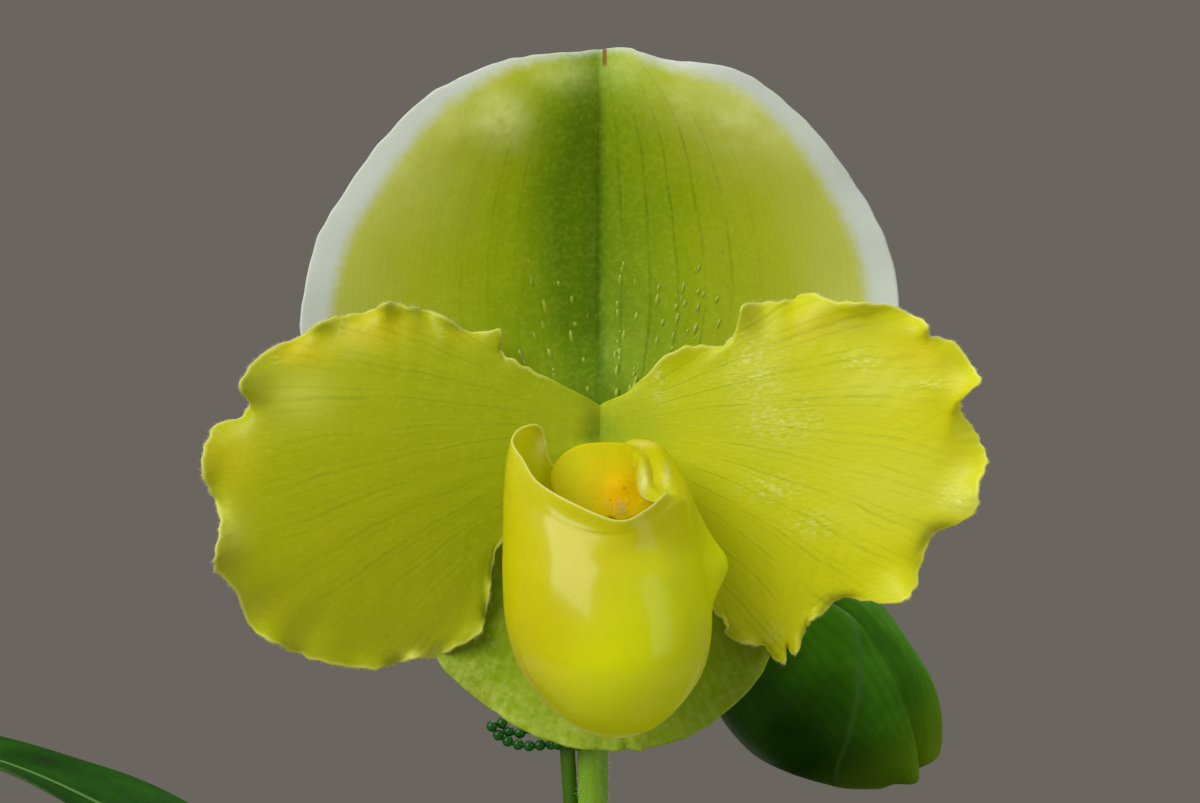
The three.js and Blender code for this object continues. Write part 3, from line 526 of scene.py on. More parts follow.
def tube(at, share, angle, radius, beside):
    """A point on a tube, and the way out of it there: the path's point at that share of its length, moved
    by radius at that angle, measured from the direction beside, laid square to the path."""
    share, angle = np.broadcast_arrays(share, angle)
    ahead = unit(at(share + 2e-3) - at(share - 2e-3))
    beside = np.array(beside, float)
    first = unit(beside - (ahead @ beside)[..., None] * ahead)
    out = first * np.cos(angle)[..., None] + np.cross(ahead, first) * np.sin(angle)[..., None]
    return at(share) + out * (radius + 0 * angle)[..., None], out


def stem_radius_at(share, angle, ovary_start):
    """The stem swells into the ovary at ovary_start, where six low ribs rise, and narrows at its end."""
    swell = ease(share, ovary_start, ovary_start + 0.12)
    radius = stem_radius + (ovary_radius - stem_radius) * swell - 0.5 * ease(share, 0.93, 1)
    uneven = 0.03 * np.cos(11 * angle + 9 * share) * (1 - swell)
    return radius * (1 + 0.07 * swell * np.cos(6 * angle)) + uneven


def hairs(name, roots, outward, length, width, material, slot):
    """Thin three-sided spikes, each from its root along its outward direction, and closed at the root."""
    first = unit(np.cross(outward, [0.31, 0.52, 0.79]))
    second = np.cross(outward, first)
    angle = np.radians([0, 120, 240])[:, None]
    foot = width / 2 * (np.cos(angle) * first[:, None] + np.sin(angle) * second[:, None])
    rings = (roots[:, None] + foot)[:, None]
    ends = roots - 0.1 * outward, roots + length[:, None] * outward
    put_in_place(name, rings, material, slot, ends=ends)


stem_green, place = tissue("stem", 0.4, 0.15, (0.6, 1.0, 0.15), {"Roughness": 0.5})
streaks = place.stretched(1, 1, 0.12).grain(0.8, 3)
green = place.part("Z").step(100, 200).blend((96, 112, 48), (134, 184, 24))
wear(stem_green, {
    "Base Color": green.under((streaks.step(0.35, 0.7) * 0.4, 152, 192, 60)),
    "Normal": (streaks * 0.7 + place.grain(0.25) * 0.3).relief(0.12),
})
hair_pale, place = finish("hair", {"Roughness": 0.4, "Subsurface Weight": 0.3, "Subsurface Scale": 0.0005})
wear(hair_pale, {"Base Color": place.grain(2).blend((205, 214, 160), (236, 240, 214))})

share, angle = np.linspace(0, 1, 260)[:, None], circle(54)
scape, _ = tube(scape_at, share, angle, stem_radius_at(share, angle, scape_ovary), (1, 0, 0))
put_in_place("scape", scape, stem_green, "stem", "flower_stem")
share = np.linspace(0, 1, 110)[:, None]
rachis, _ = tube(rachis_at, share, angle, stem_radius_at(share, angle, bud_ovary), (0, 1, 0))
put_in_place("bud_stalk", rachis, stem_green, "stem")

draw = np.random.default_rng(11)
for name, at, count, first_share, ovary_start, beside in [
    ("scape_hairs", scape_at, 9000, 0.22, scape_ovary, (1, 0, 0)),
    ("bud_stalk_hairs", rachis_at, 2600, 0.02, bud_ovary, (0, 1, 0)),
]:
    share, angle = draw.uniform(first_share, 0.985, count), draw.uniform(0, 2 * np.pi, count)
    roots, out = tube(at, share, angle, stem_radius_at(share, angle, ovary_start), beside)
    lean = unit(out + draw.normal(0, 0.28, out.shape))
    hairs(name, roots, lean, draw.uniform(0.45, 1.0, count), 0.05, hair_pale, "stem")

# ---------------------------------------------------------------- bracts
# At the foot of each ovary a short pointed sheath half wraps the stem. It is the last small leaf below
# the flower, thin, green and faintly ribbed.

bract_thickness = 0.7
for name, at, start, end, facing in [
    ("bloom_bract", scape_at, 0.735, 0.86, (0, -0.2, -1)),
    ("bud_bract", rachis_at, 0.36, 0.72, (0.2, 1, 0.3)),
]:
    grown = np.linspace(0, 1, 60)[:, None]
    edge = edge_to_edge(41)
    angle = np.radians(95) * (1 - 0.86 * grown**2.2) * edge
    radius = ovary_radius * 1.07 + 0.7 + 2.2 * grown**2 + 0.05 * np.cos(26 * edge)
    sheet, _ = tube(at, start + (end - start) * grown + 0 * edge, angle, radius, facing)
    half = bract_thickness / 2 * (1 - edge**6) ** 0.5 * (1 - 0.5 * edge**2) * (1 - 0.5 * grown)
    put_sheet(name, sheet, half, half, stem_green, "stem")

# ---------------------------------------------------------------- stake
# A thin wire stake in a smooth green coat, pushed into the bark beside the growth. It leans so that
# its upper end stands against the stem.

stake_radius = 1.28
stake_foot, stake_top = np.array([3.05, 13.9, 70]), np.array([-5.95, -3.1, 230])


def stake_at(share):
    return stake_foot + (stake_top - stake_foot) * np.clip(share, 0, 1)[..., None]


coat, place = finish("green coating", {"Roughness": 0.35, "Specular IOR Level": 0.3})
wear(coat, {
    "Base Color": place.grain(7, 3).blend((60, 102, 0), (84, 134, 0)),
    "Normal": place.grain(1.2, 3).relief(0.04),
})
straight, rounding = 0.994, 0.006
share = np.append(np.linspace(0, straight, 40), straight + rounding * np.sin(np.linspace(0.2, np.pi / 2, 8)))
end_round = np.sqrt(np.clip(1 - np.clip((share - straight) / rounding, 0, 1) ** 2, 0.004, 1))
rod, _ = tube(stake_at, share[:, None], circle(32), (stake_radius * end_round)[:, None], (1, 0, 0))
put_in_place("stake", rod, coat, "stake", "stake")

# ---------------------------------------------------------------- bead tie
# A plastic string of small round beads, moulded in one piece, is wound round the stem and the stake
# and holds them together. Its two ends stick out to the left.

bead_radius, bead_pitch, string_radius = 0.95, 1.9, 0.34
tie_height, tie_rise, tie_slack = 202, 0.28, 0.75
tie_points = [(-17.4, -1.6, 206), (-16.1, -1.7, 203.9), (-13.9, -1.9, 202.5), (-11, -2.4, 202)]
for winding in range(21):
    heading = np.radians(205 + 29 * winding)
    height = tie_height + tie_rise * winding
    aside = np.array([np.cos(heading), np.sin(heading), 0])
    up_stake = (stake_top - stake_foot) * (height - stake_foot[2])
    middle, radius = stake_foot + up_stake / (stake_top[2] - stake_foot[2]), stake_radius
    if middle[:2] @ aside[:2] < 1.25:
        middle, radius = np.array([0, 0, height]), stem_radius
    tie_points.append(middle + aside * (radius + bead_radius + tie_slack))
tie_points += [(-9.4, -0.2, 205), (-12.2, -0.7, 203.8), (-14.6, -0.8, 204.4), (-15.6, -0.8, 206.4)]
tie_at, tie_length = path_through(tie_points)
bead_count = round(tie_length / bead_pitch)
share = np.linspace(0, 1, bead_count * 12 + 1)[:, None]
within = (share * bead_count) % 1 * 2 - 1
bead = np.sqrt(np.clip(1 - (within * bead_pitch / 2 / bead_radius) ** 2, 0, 1)) * bead_radius
beads, _ = tube(tie_at, share, circle(20), np.maximum(bead, string_radius), (0, 0, 1))
plastic, place = finish("green beads", {"Roughness": 0.32, "Specular IOR Level": 0.4})
wear(plastic, {"Base Color": place.grain(3).blend((12, 74, 6), (28, 104, 16))})
put_in_place("bead_tie", beads, plastic, "tie", "bead_tie")

# ---------------------------------------------------------------- second bud
# The stem's second flower is a fat closed bud that hangs behind the first. A keeled sepal wraps its
# front, another its back, and the petals and lip lie packed inside, just showing at the blunt tip.

bud_base, bud_tip = np.array([27, 14, 226]), np.array([53, 14, 193])
bud_radius, bud_flatness, bud_keel = 16.6, 0.86, 1.3
bud_length = np.linalg.norm(bud_tip - bud_base)
bud_ahead = (bud_tip - bud_base) / bud_length
bud_front = np.array([0, -1, 0])
bud_side = np.cross(bud_ahead, bud_front)


def bud_radius_at(grown):
    """A flattened sine arch over the length to the power 0.8: it is widest at two fifths of its length."""
    return bud_radius * np.sin(np.pi * (0.03 + 0.94 * grown**0.8)) ** 0.7


def bud_point(grown, angle, radius):
    """A point round the bud's axis, from angle 0 in front. The bud is a little flatter front to back."""
    front = (radius * bud_flatness * np.cos(angle))[..., None] * bud_front
    side = (radius * np.sin(angle))[..., None] * bud_side
    return bud_base + bud_ahead * (bud_length * grown + 0 * angle)[..., None] + front + side


bud_green, place = tissue("bud", 0.08, 0.08, (0.4, 1.0, 0.1))
around = place.carried("around")
bud_vein = (around + place.grain(16) * 0.5).line(0.3)
wear(bud_green, {
    "Base Color": place.grain(11, 4, 0.6).ramp((0.3, 60, 114, 2), (0.7, 88, 162, 24)).under(
        (bud_vein * 0.15, 30, 70, 4),
        # The left side of the bud is painted darker: a painted shadow of the open flower, which stands
        # between it and the light.
        (around.step(-4.5, 4) * 0.85, 14, 46, 0),
        (place.carried("grown").step(0.66, 0.98) * 0.8, 122, 156, 12),
        # A pale line along each keel: partly the keel's own paler midrib, partly a painted highlight on the
        # ridge.
        (place.carried("keel") * 0.7, 92, 132, 60),
        (place.carried("rim") * 0.3, 96, 132, 30),
    ),
    "Roughness": 0.45 + place.grain(2) * 0.16,
    "Normal": (place.grain(0.5) * 0.6 + (1 - bud_vein) * 0.4).relief(0.06, place.grain(7, 3).relief(0.4)),
})
keel_grown = [0, 0.3, 0.45, 0.56, 0.67, 0.77, 0.87, 1]
keel_angle = [-54, -41, -25, -12, 7, 33, 62, 88]
for name, start, end, flare, tuck, lobe_at, lobe in [
    ("bud_dorsal_sepal", -42, 105, 0, 0, -28, 0.06), ("bud_synsepal", -251, -32, 4.2, 1.2, -75, 0.04),
]:
    row = np.linspace(0, 1, 90)[:, None]
    grown, swelling = 0.985 * row, np.sin(np.pi * row)
    edge = edge_to_edge(85)
    angle = (start + end) / 2 + (end - start) / 2 * edge
    from_keel = angle - np.interp(grown, keel_grown, keel_angle)
    ridge = bud_keel * np.exp(-((from_keel / 16) ** 2)) * swelling * (tuck == 0)
    pressed = 1.4 * np.exp(-(((angle + 85) / 42) ** 2)) * (1 - ease(grown, 0.3, 0.75))
    spread = flare * ease(grown, 0.5, 1) * np.exp(-(((angle + 96) / 36) ** 2)) - tuck * ease(angle, -62, -46)
    spread = spread + 1.2 * (0.5 + 0.5 * np.sin(np.radians(angle))) ** 2 * swelling
    lumps = 0.25 * ripple(angle / 6, grown * bud_length, 12, 5) * swelling
    longer = lobe * np.exp(-(((angle - lobe_at) / 32) ** 2)) * ease(grown, 0.55, 1)
    radius = bud_radius_at(grown) + ridge + spread - pressed + lumps
    sheet = bud_point(grown + longer, np.radians(angle), radius)
    half = 0.5 * (1 - edge**20) ** 0.5
    put_sheet(name, sheet, half, half, bud_green, "bud", grown=grown, rim=np.abs(edge) ** 30,
              keel=np.exp(-((from_keel / 1.9) ** 2)) * ease(row, 0.02, 0.2), around=angle / 8)

share, angle = np.linspace(0, 1, 50)[:, None], circle(60)
grown = 0.12 + 0.83 * share
inner = np.maximum(0.5, (bud_radius_at(grown) - 1.45) * 0.84) * (1 + 0.03 * np.cos(5 * angle + 4 * grown))
packed, place = finish("packed petals", {
    "Roughness": 0.45, "Subsurface Weight": 0.1, "Subsurface Scale": 0.002,
})
wear(packed, {"Base Color": place.grain(4, 3).blend((92, 132, 14), (132, 150, 20))})
put_in_place("bud_petals", bud_point(grown, angle, inner), packed, "bud", "bud_petals")

# ---------------------------------------------------------------- dorsal sepal
# The flower's upper sepal is a broad, shallow hood, folded into a deep groove up its middle. It is
# green with darker veins and small warts near its foot, and its margin is white.

flower_centre, flower_nod = np.array([1.2, -42, 263]), np.radians(7)


def tipped(points, angle, centre):
    """Points with x to the right, y away and z up, tipped back by the angle and moved to the centre."""
    x, y, z = np.moveaxis(np.asarray(points, float), -1, 0)
    cosine, sine = np.cos(angle), np.sin(angle)
    return centre + np.stack([x, y * cosine + z * sine, z * cosine - y * sine], -1)


def in_flower(points):
    """Points of the flower, which looks a little up, set in place."""
    return tipped(points, flower_nod, flower_centre)


def closed_curve(points, turn):
    """A smooth closed curve: cubics whose slope at each point is half the chord between its neighbours."""
    p = np.array(points, float)
    place = (turn % 1) * len(p)
    span = place.astype(int)
    t = (place - span)[..., None]
    before, start, end, after = (p[(span + k) % len(p)] for k in (-1, 0, 1, 2))
    quadratic = 2 * before - 5 * start + 4 * end - after
    cubic = 3 * start - before - 3 * end + after
    return start + 0.5 * ((end - before) * t + quadratic * t**2 + cubic * t**3)


def blade(margin, middle, ring, turn, curl, depth, frill=0.0, tooth=0.0):
    """A point of a blade, at ring 0 on its middle and at ring 1 on its margin. It lies at depth(x, z), and
    the margin's lift fades inwards as ring to the power curl. The rings inside follow the margin evened
    out to both sides. frill waves the margin and tooth roughens its line, except near turn 0, where the
    blade is joined on."""
    ring, turn = np.broadcast_arrays(ring, turn)
    own, beyond = closed_curve(margin, turn), closed_curve(margin, turn + 1e-3)
    outward = unit(np.stack([beyond[..., 1] - own[..., 1], own[..., 0] - beyond[..., 0]], -1))
    edge = 0
    for aside in range(-4, 5):
        edge = edge + (5 - abs(aside)) / 25 * closed_curve(margin, turn + 0.11 * aside * (1 - ring))
    round_edge = 4 * len(margin) * (turn % 1)
    free = ease(np.sin(np.pi * (turn % 1)), 0.02, 0.2)
    rough = tooth * free * (ripple(round_edge, 0, 3.4, 21) + 0.5 * ripple(round_edge, 0, 1.6, 22))
    wave = frill * free * ripple(round_edge, 0, 7, 23) * (0.6 + 0.4 * ripple(round_edge, 0, 33, 24))
    rough = rough * ring ** (2 * curl)
    x = middle[0] + (edge[..., 0] - middle[0]) * ring + rough * outward[..., 0]
    z = middle[1] + (edge[..., 1] - middle[1]) * ring + rough * outward[..., 1]
    return np.stack([x, depth(x, z) + edge[..., 2] * ring**curl + wave * ring ** (2 * curl), z], -1)


def blade_grid(first, rows, columns):
    """Rings from the first one out to the margin, closer together there, and places all the way round."""
    ring = 1 - (1 - np.linspace(first, 1, rows)[:, None]) ** 1.35
    return ring, np.linspace(0, 1, columns, endpoint=False)[None]


def ring_normals(rings):
    """The unit normal at each point of a surface of closed rings."""
    beside = np.roll(rings, -1, axis=1) - np.roll(rings, 1, axis=1)
    return unit(np.cross(np.gradient(rings, axis=0), beside))


def put_blade(name, sheet, half, material, slot, *nodes, where=in_flower, **carried):
    """Puts a blade in place with half its thickness to both sides of its sheet. Its rings run from the
    middle out to the margin along the front, and back along the other face with the same values."""
    normal = ring_normals(sheet)
    normal = np.where(normal[..., 1:2] > 0, -normal, normal) * half[..., None]
    rings = np.concatenate([sheet + normal, (sheet - normal)[-2::-1]])
    carried = {key: np.concatenate([values, values[-2::-1]]) for key, values in carried.items()}
    put_in_place(name, where(rings), material, slot, *nodes, **carried)


def margin_distance(sheet):
    """Millimetres to the margin, along the line from the middle through the point."""
    return np.linalg.norm(sheet - sheet[-1:], axis=-1)


def soft_edge(distance, thickness, thin):
    """Half the thickness: round over the last bit before the margin, and thinner towards it. The thinning is
    evened out round the blade, so that a notch in its margin leaves no step."""
    even = distance
    for _ in range(120):
        even = (np.roll(even, 1, 1) + 2 * even + np.roll(even, -1, 1)) / 4
    body = thickness * (thin + (1 - thin) * ease(even, 0, 9))
    return body / 2 * np.sqrt(np.clip(1 - (1 - np.minimum(distance / (body / 2), 1)) ** 2, 0, 1))


def dorsal_depth(x, z):
    """A hood that leans forward as it rises and back again at its edge, with the groove up its middle."""
    up = np.maximum(0, z) / 56
    groove = 1.8 * np.exp(-((x / 9) ** 2)) + 1.1 * np.exp(-((x / 3) ** 2)) + 0.2 * np.exp(-((x / 0.9) ** 2))
    pleats = 0.06 * np.cos(2 * np.pi * 9 * meridian(x, z)) * ease(z, 2, 14) * (1 - ease(z, 30, 50))
    rolled_back = 2.2 * ease(np.hypot(0.75 * x, z - 12), 33, 48)
    hood = 2.4 + 3.2 * np.sin(2.8 * up) - 7.5 * up**2 - 0.0022 * x * x + rolled_back
    return hood + groove * ease(z, 2, 13) + pleats * np.exp(-((x / 22) ** 2))


def meridian(x, z):
    """Which vein a point lies on, from 0 on the midline to 1 on the outermost: they spread, then meet."""
    upper = 1 - (np.maximum(0, z - 18) / 38.5) ** 2
    lower = 1 - 0.85 * (np.maximum(0, 18 - z) / 21) ** 2
    return x / (46 * np.sqrt(np.clip(np.minimum(upper, lower), 0.04, 1)))


def patches(x, z, *spots):
    """A sum of soft round patches, each given by its middle, its reach in x and in z, and its strength."""
    return sum(strength * np.exp(-(((x - at_x) / wide) ** 2) - ((z - at_z) / high) ** 2)
               for at_x, at_z, wide, high, strength in spots)


dorsal_middle = (0, 26)
dorsal_margin = [
    (0, -0.6, 0), (3.5, -0.8, 0), (13, -2.2, 0), (23, -3, 0), (33.5, -1.5, 0), (41.5, 4, 0), (45, 10.5, -0.5),
    (45.5, 17, 0), (44.5, 24, 0.5), (41.5, 31, 1), (37, 38, 1), (31.5, 44.7, 1), (25.5, 49.8, 1.5),
    (20.5, 52.6, 1.5), (15, 53.7, 2), (10, 54.3, 3), (7, 55.2, 3), (4, 56.3, 4), (1, 56.3, 4), (-4, 55.6, 4),
    (-9, 55.1, 3.5), (-14.5, 54.1, 2.5), (-20.5, 51.7, 1.5), (-27, 48, 1), (-33.5, 41.6, 1), (-39, 34, 1),
    (-43, 27, 0.5), (-45, 19, 0), (-45.5, 12, -0.5), (-43.5, 5.5, 0), (-38, -1, 0), (-27.5, -3, 0),
    (-15.5, -2.5, 0), (-3.5, -0.8, 0),
]
white_at = [-45, -38, -27, -20, -15, -8, 0, 6, 12, 20, 28, 35, 41, 46]
white_widths = [4.6, 4.3, 3, 2, 1.3, 0.7, 0.2, 0.7, 1.5, 2.5, 2.9, 3.5, 4.5, 4.8]
dorsal_curl, dorsal_frill, sepal_tooth, sepal_thickness = 7, 0.15, 0.06, 1.0
ring, turn = blade_grid(0.01, 74, 620)
sheet = blade(dorsal_margin, dorsal_middle, ring, turn, dorsal_curl, dorsal_depth, dorsal_frill, sepal_tooth)
to_margin = margin_distance(sheet)
x, z = sheet[..., 0], sheet[..., 2]
white = np.interp(sheet[-1:, :, 0], white_at, white_widths) * ease(sheet[-1:, :, 2], -3, 6) - to_margin
# Soft pale patches near the top and sides: painted sheen, the sepal's highlights painted into its colour.
sheen = patches(x, z, (-15, 45.5, 4, 4, 1), (-22, 46, 5, 4, 0.4), (-6, 52, 4, 2.5, 0.7), (4, 53, 3, 2.5, 0.5),
                (17, 48, 8, 4, 0.7), (23, 44, 8, 6, 0.5), (-30, 36, 8, 8, 0.4))

dorsal_skin, place = tissue("dorsal sepal", 0.1, 0.2, (0.8, 1.0, 0.2))
vein, up, aside = place.carried("vein"), place.carried("up"), place.carried("aside")
# From the dark heart to the pale margin. The top is made paler, painted light where the hood's top turns up
# to the light, and a band left of the groove is made darker, painted shade where that side faces away from
# it.
heart = (vein + 0.03).maths("ABSOLUTE") + place.grain(13, 3) * 0.24 - 0.12 + up.step(30, 55) * 0.12
heart = heart - aside.step(-14, -4) * (1 - aside.step(-4, 1)) * up.step(6, 24) * 0.15
dark_vein = (vein * 11 + place.grain(11) * 0.3).line(0.36, 4) * (0.5 + aside.step(-6, 3) * 0.5)
dark_vein = dark_vein * (1 - vein.maths("ABSOLUTE").step(0.25, 0.65)) * up.step(0, 8)
dark_vein = dark_vein * place.grain(8, 3).step(0.25, 0.66)
net_vein = (vein * 45 + place.grain(5) * 1.6).line(0.3) * 0.3
midline = (1 - aside.maths("ABSOLUTE").step(0.2, 1.5)) * up.step(0, 6) * (1 - up.step(46, 54))
painted_sheen_patch = place.carried("sheen") * (0.4 + place.grain(3.5, 4, 0.6).step(0.3, 0.7) * 0.6)
tip_mark = (1 - (aside - 0.8).maths("ABSOLUTE").step(0.15, 0.5)) * up.step(53, 53.8)
sepal_green = heart.maths("MINIMUM", 1.0).ramp(
    (0, 92, 124, 0), (0.14, 114, 142, 0), (0.36, 142, 162, 0), (0.62, 164, 174, 30), (0.9, 182, 188, 84),
)
wear(dorsal_skin, {
    "Base Color": sepal_green.under(
        (dark_vein * 0.5 + net_vein * 0.12, 78, 112, 0),
        (midline * 0.4, 60, 100, 0),
        (place.grain(0.9, 4).step(0.4, 0.75) * 0.16, 184, 192, 60),
        # Painted sheen: highlights painted into the colour.
        (painted_sheen_patch * 0.75, 212, 220, 136),
        ((place.carried("white") + place.grain(1.1, 5, 0.65) * 2 - 1).step(-1.7, 1.5), 194, 202, 194),
        (tip_mark * 0.85, 120, 62, 20),
    ),
    "Roughness": 0.45 + place.grain(1.2) * 0.14,
    "Normal": (place.grain(0.32, 2) * 0.8 + (1 - dark_vein) * 0.2).relief(0.06),
})
put_blade("dorsal_sepal", sheet, soft_edge(to_margin, sepal_thickness, 0.5), dorsal_skin, "sepal",
          "dorsal_sepal", vein=meridian(x, z), up=z, aside=x, white=white, sheen=sheen)

draw = np.random.default_rng(19)
count = 150
vein_at = draw.integers(1, 7, count) / 15 + draw.normal(0, 0.012, count)
vein_at = np.where(draw.uniform(size=count) < 0.8, vein_at, -vein_at * 0.7)
wart_z = 3 + 26 * draw.uniform(size=count) ** 1.3
wart_x = 46 * vein_at * np.sqrt(1 - 0.85 * (np.maximum(0, 18 - wart_z) / 21) ** 2)
wart_y = dorsal_depth(wart_x, wart_z)
wart_size = draw.uniform(0.26, 0.5, count) * (1 - 0.4 * ease(wart_z, 18, 30))
angle = circle(12)
lying = np.linspace(-0.45 * np.pi, 0.45 * np.pi, 7)[:, None]
level = np.cos(lying)
drop = np.stack([level * np.cos(angle), 0.8 * level * np.sin(angle), np.sin(lying) + 0 * angle], -1)
stretch = np.stack([wart_size, wart_size, wart_size * draw.uniform(1.2, 3.4, count)], -1)
drops = drop * stretch[:, None, None]
drops[..., 0] += drops[..., 2] * (vein_at * 0.9)[:, None, None]
drops += np.stack([wart_x, wart_y - 0.26, wart_z], -1)[:, None, None]
wart_skin, place = tissue("warts", 0.3, 0.3, (0.8, 1.0, 0.2), {
    "Roughness": 0.4, "Coat Weight": 0.25, "Coat Roughness": 0.2, "Subsurface Scale": 0.001,
})
wear(wart_skin, {"Base Color": place.grain(3).blend((126, 150, 0), (148, 168, 16))})
put_in_place("dorsal_warts", in_flower(drops), wart_skin, "sepal")

# ---------------------------------------------------------------- synsepal
# The two lower sepals are grown together into one broad blade behind the pouch. It is paler than the
# petals, mottled with white, and a little crinkled at its tip.


def synsepal_depth(x, z):
    """The blade swells away from the pouch, then comes forward at its tip and at its sides."""
    drop = np.maximum(0, -z)
    return 2.4 + 2.6 * np.sin(drop / 18) - 4.5 * (drop / 51) ** 2 - 0.0035 * x * x


synsepal_margin = [
    (0, -7.4, 0), (-2.6, -7.6, 0), (-9, -10, 0), (-17, -16, 0), (-23, -23.5, 0.5), (-25.5, -31, 0),
    (-25, -36.5, -0.5), (-22, -40.5, 0), (-16.5, -45, 0.5), (-10.5, -48.5, 0), (-4.5, -50.5, 0),
    (0, -51, 0.5), (2.5, -51, -0.4), (4, -50.7, 0.6), (6, -51, -0.6), (8, -50.5, 0.5), (13, -49, 0),
    (18, -46, 0), (23, -41.5, -0.5), (26, -36.5, 0), (28, -30.5, 0.5), (26, -23, 0), (20, -14.5, 0),
    (12, -9.5, 0), (2.6, -7.6, 0),
]
synsepal_curl, synsepal_frill = 5, 0.25
ring, turn = blade_grid(0.03, 50, 420)
sheet = blade(synsepal_margin, (0.5, -30), ring, turn, synsepal_curl, synsepal_depth, synsepal_frill,
              sepal_tooth)
to_margin = margin_distance(sheet)
synsepal_skin, place = tissue("synsepal", 0.14, 0.2, (0.8, 1.0, 0.2))
aside, drop = place.carried("aside"), place.carried("up") * -1
pale = (place.grain(1.3, 5, 0.66) + place.carried("rim") * 0.16 - 0.06).step(0.38, 0.78)
lobe_vein = ((aside / (drop + 4) * 26) + place.grain(8) * 0.7).line(0.3) * 0.4
wear(synsepal_skin, {
    "Base Color": place.grain(12, 3).blend((122, 152, 0), (146, 168, 10)).under(
        # White mottling, the sepal's own colour, laid twice as strong on the left: the extra is painted
        # light, as the left side faces the light.
        (pale * (0.3 + (1 - aside.step(-20, 4)) * 0.3), 190, 200, 100),
        (lobe_vein * 0.4, 100, 134, 6),
    ),
    "Roughness": 0.45 + place.grain(1.2) * 0.14,
    "Normal": (place.grain(0.32, 2) * 0.7 + pale * 0.3).relief(0.1),
})
put_blade("synsepal", sheet, soft_edge(to_margin, sepal_thickness, 0.6), synsepal_skin, "sepal", "synsepal",
          aside=sheet[..., 0], up=sheet[..., 2], rim=1 - ease(to_margin, 0.5, 9))

# ---------------------------------------------------------------- petals
# Two broad petals reach out and forward from the column. They are waxy and yellow-green, with fine
# green veins that fan from the base, and their margins are frilled, notched and set with tiny hairs.


def petal_depth(x, z):
    """The petal comes forward as it reaches out, bows across its width, and is lightly pleated along its
    veins. At its base it sinks into the crease where it meets the other petal."""
    out = np.abs(x)
    fan, reach = vein_fan(x, z)
    pleats = 0.02 * np.cos(2 * np.pi * fan / 0.16) * ease(reach, 12, 24) * (1 - ease(reach, 42, 58))
    crease = 1.1 * np.exp(-((out / 1.8) ** 2))
    bow = np.where(x < 0, 0.0042, 0.0018) * (z + 0.17 * out) ** 2 * ease(out, 4, 20)
    return -0.6 - 0.17 * out + bow + pleats + crease


def vein_fan(x, z):
    """Which vein a point lies on, as the angle at which that vein leaves the base, and how far out it is.
    The veins droop as the square of the distance out."""
    out = np.abs(x)
    return np.arctan2(z + 2.5 + 0.0032 * out**2, out + 2), np.hypot(out, z + 2.5)


petal_skins = {}
vein_spacing = 0.13
# The two petals are coloured as a shaded and a lit copy of one tissue: the left one darker and greener,
# painted shade where it faces away from the light.
for side, deep, bright in [("left", (150, 166, 0), (172, 178, 0)), ("right", (180, 189, 0), (208, 209, 0))]:
    petal_skin, place = tissue(side + " petal", 0.25, 0.2, (1.0, 0.9, 0.08))
    reach, shine = place.carried("reach"), place.carried("shine")
    vein = (place.carried("fan") + place.grain(9) * 0.05) / vein_spacing
    veins = vein.line(0.24, 3) * reach.step(5, 12) * (1 - reach.step(40, 56))
    forks = (vein * 2 + 0.5).line(0.22, 2) * reach.step(16, 28) * (1 - reach.step(44, 58))
    ribs = (veins * 0.9 + forks * 0.5) * place.grain(7, 3).step(0.3, 0.6)
    cells = place.stretched(0.5, 1, 1).grain(0.55, 3)
    glint = shine * place.stretched(0.4, 1, 1).grain(0.5, 4).step(0.46, 0.68)
    wear(petal_skin, {
        "Base Color": (place.grain(16, 3) * 0.55 + reach.step(18, 46) * 0.45).blend(deep, bright).under(
            (1 - reach.step(2, 14), 160, 174, 0),
            # Darker green just at the base, where the two petals meet: painted shade in the crease.
            ((1 - reach.step(0.5, 5)) * 0.6, 108, 138, 0),
            # Darker olive patches on the folds: painted shade.
            (place.carried("dusk") * 0.6, 166, 162, 0),
            # Pale patches: painted sheen, highlights painted into the colour.
            (place.carried("pale") * 0.6, 214, 218, 96),
            (place.carried("gold") * 0.7, 208, 188, 0),
            (ribs * 0.28, 112, 138, 0),
            (place.grain(0.9, 4).step(0.45, 0.8) * 0.16, 206, 208, 40),
            (place.carried("rim").step(0.3, 1) * 0.38, 222, 222, 120),
            # White flecks in the shining patches: painted glints. The roughness is lowered there as well.
            (glint * 0.4, 234, 238, 160),
        ),
        "Roughness": 0.44 - glint * 0.2 + (1 - reach.step(4, 14)) * 0.2,
        "Normal": (cells * (0.25 + shine * 0.5)).relief(0.2, (1 - ribs).relief(0.015)),
    })
    petal_skins[side] = petal_skin

petal_right_margin = [
    (-0.06, -0.6, 0), (0.2, 1.5, 0), (4.5, 3.8, 0), (10.5, 9.5, -0.8), (15, 10.5, -0.3), (18.5, 10.5, 0.5),
    (20.5, 13, -0.5), (21.5, 16.5, -1.6), (25, 17, 0), (28.5, 17.5, 1.5), (32, 18.5, 2), (35.5, 17, 0),
    (39.5, 17, -1), (44, 16.5, 1), (47, 15, 2), (49, 13.5, -1), (49.5, 12, 0.5), (53, 11, 2), (55.5, 7.5, 1),
    (56.5, 5, -2.5), (54, 2.5, -1), (54, 0.5, 1), (56, -2, 2.5), (57.5, -5, 2), (57.5, -7.5, -0.5),
    (56, -10.5, -3), (56, -14, -2.5), (53.5, -16, 0), (50, -18, 2), (48.5, -21.5, 1.5), (47, -26, -1),
    (44.5, -28, -2), (40.5, -28, -0.5), (36.5, -27.5, 1.5), (33.6, -29.9, 0.5), (32, -30.8, -1.5),
    (30.8, -32.7, 1), (29.5, -36, -2.5), (28.1, -35.1, 1.5), (27.8, -37.3, -1.5), (26.4, -37, 1),
    (25.1, -35.3, 2), (21.6, -34.5, -1.5), (19.3, -33.4, 1.5), (19, -31.8, -0.8), (16.9, -29.3, 0.5),
    (13.5, -25, 0.5), (10, -18, 0), (7, -11, 0), (4.2, -7, 0), (2.4, -5.9, 0), (0.4, -5.2, 0), (-0.06, -3, 0),
]
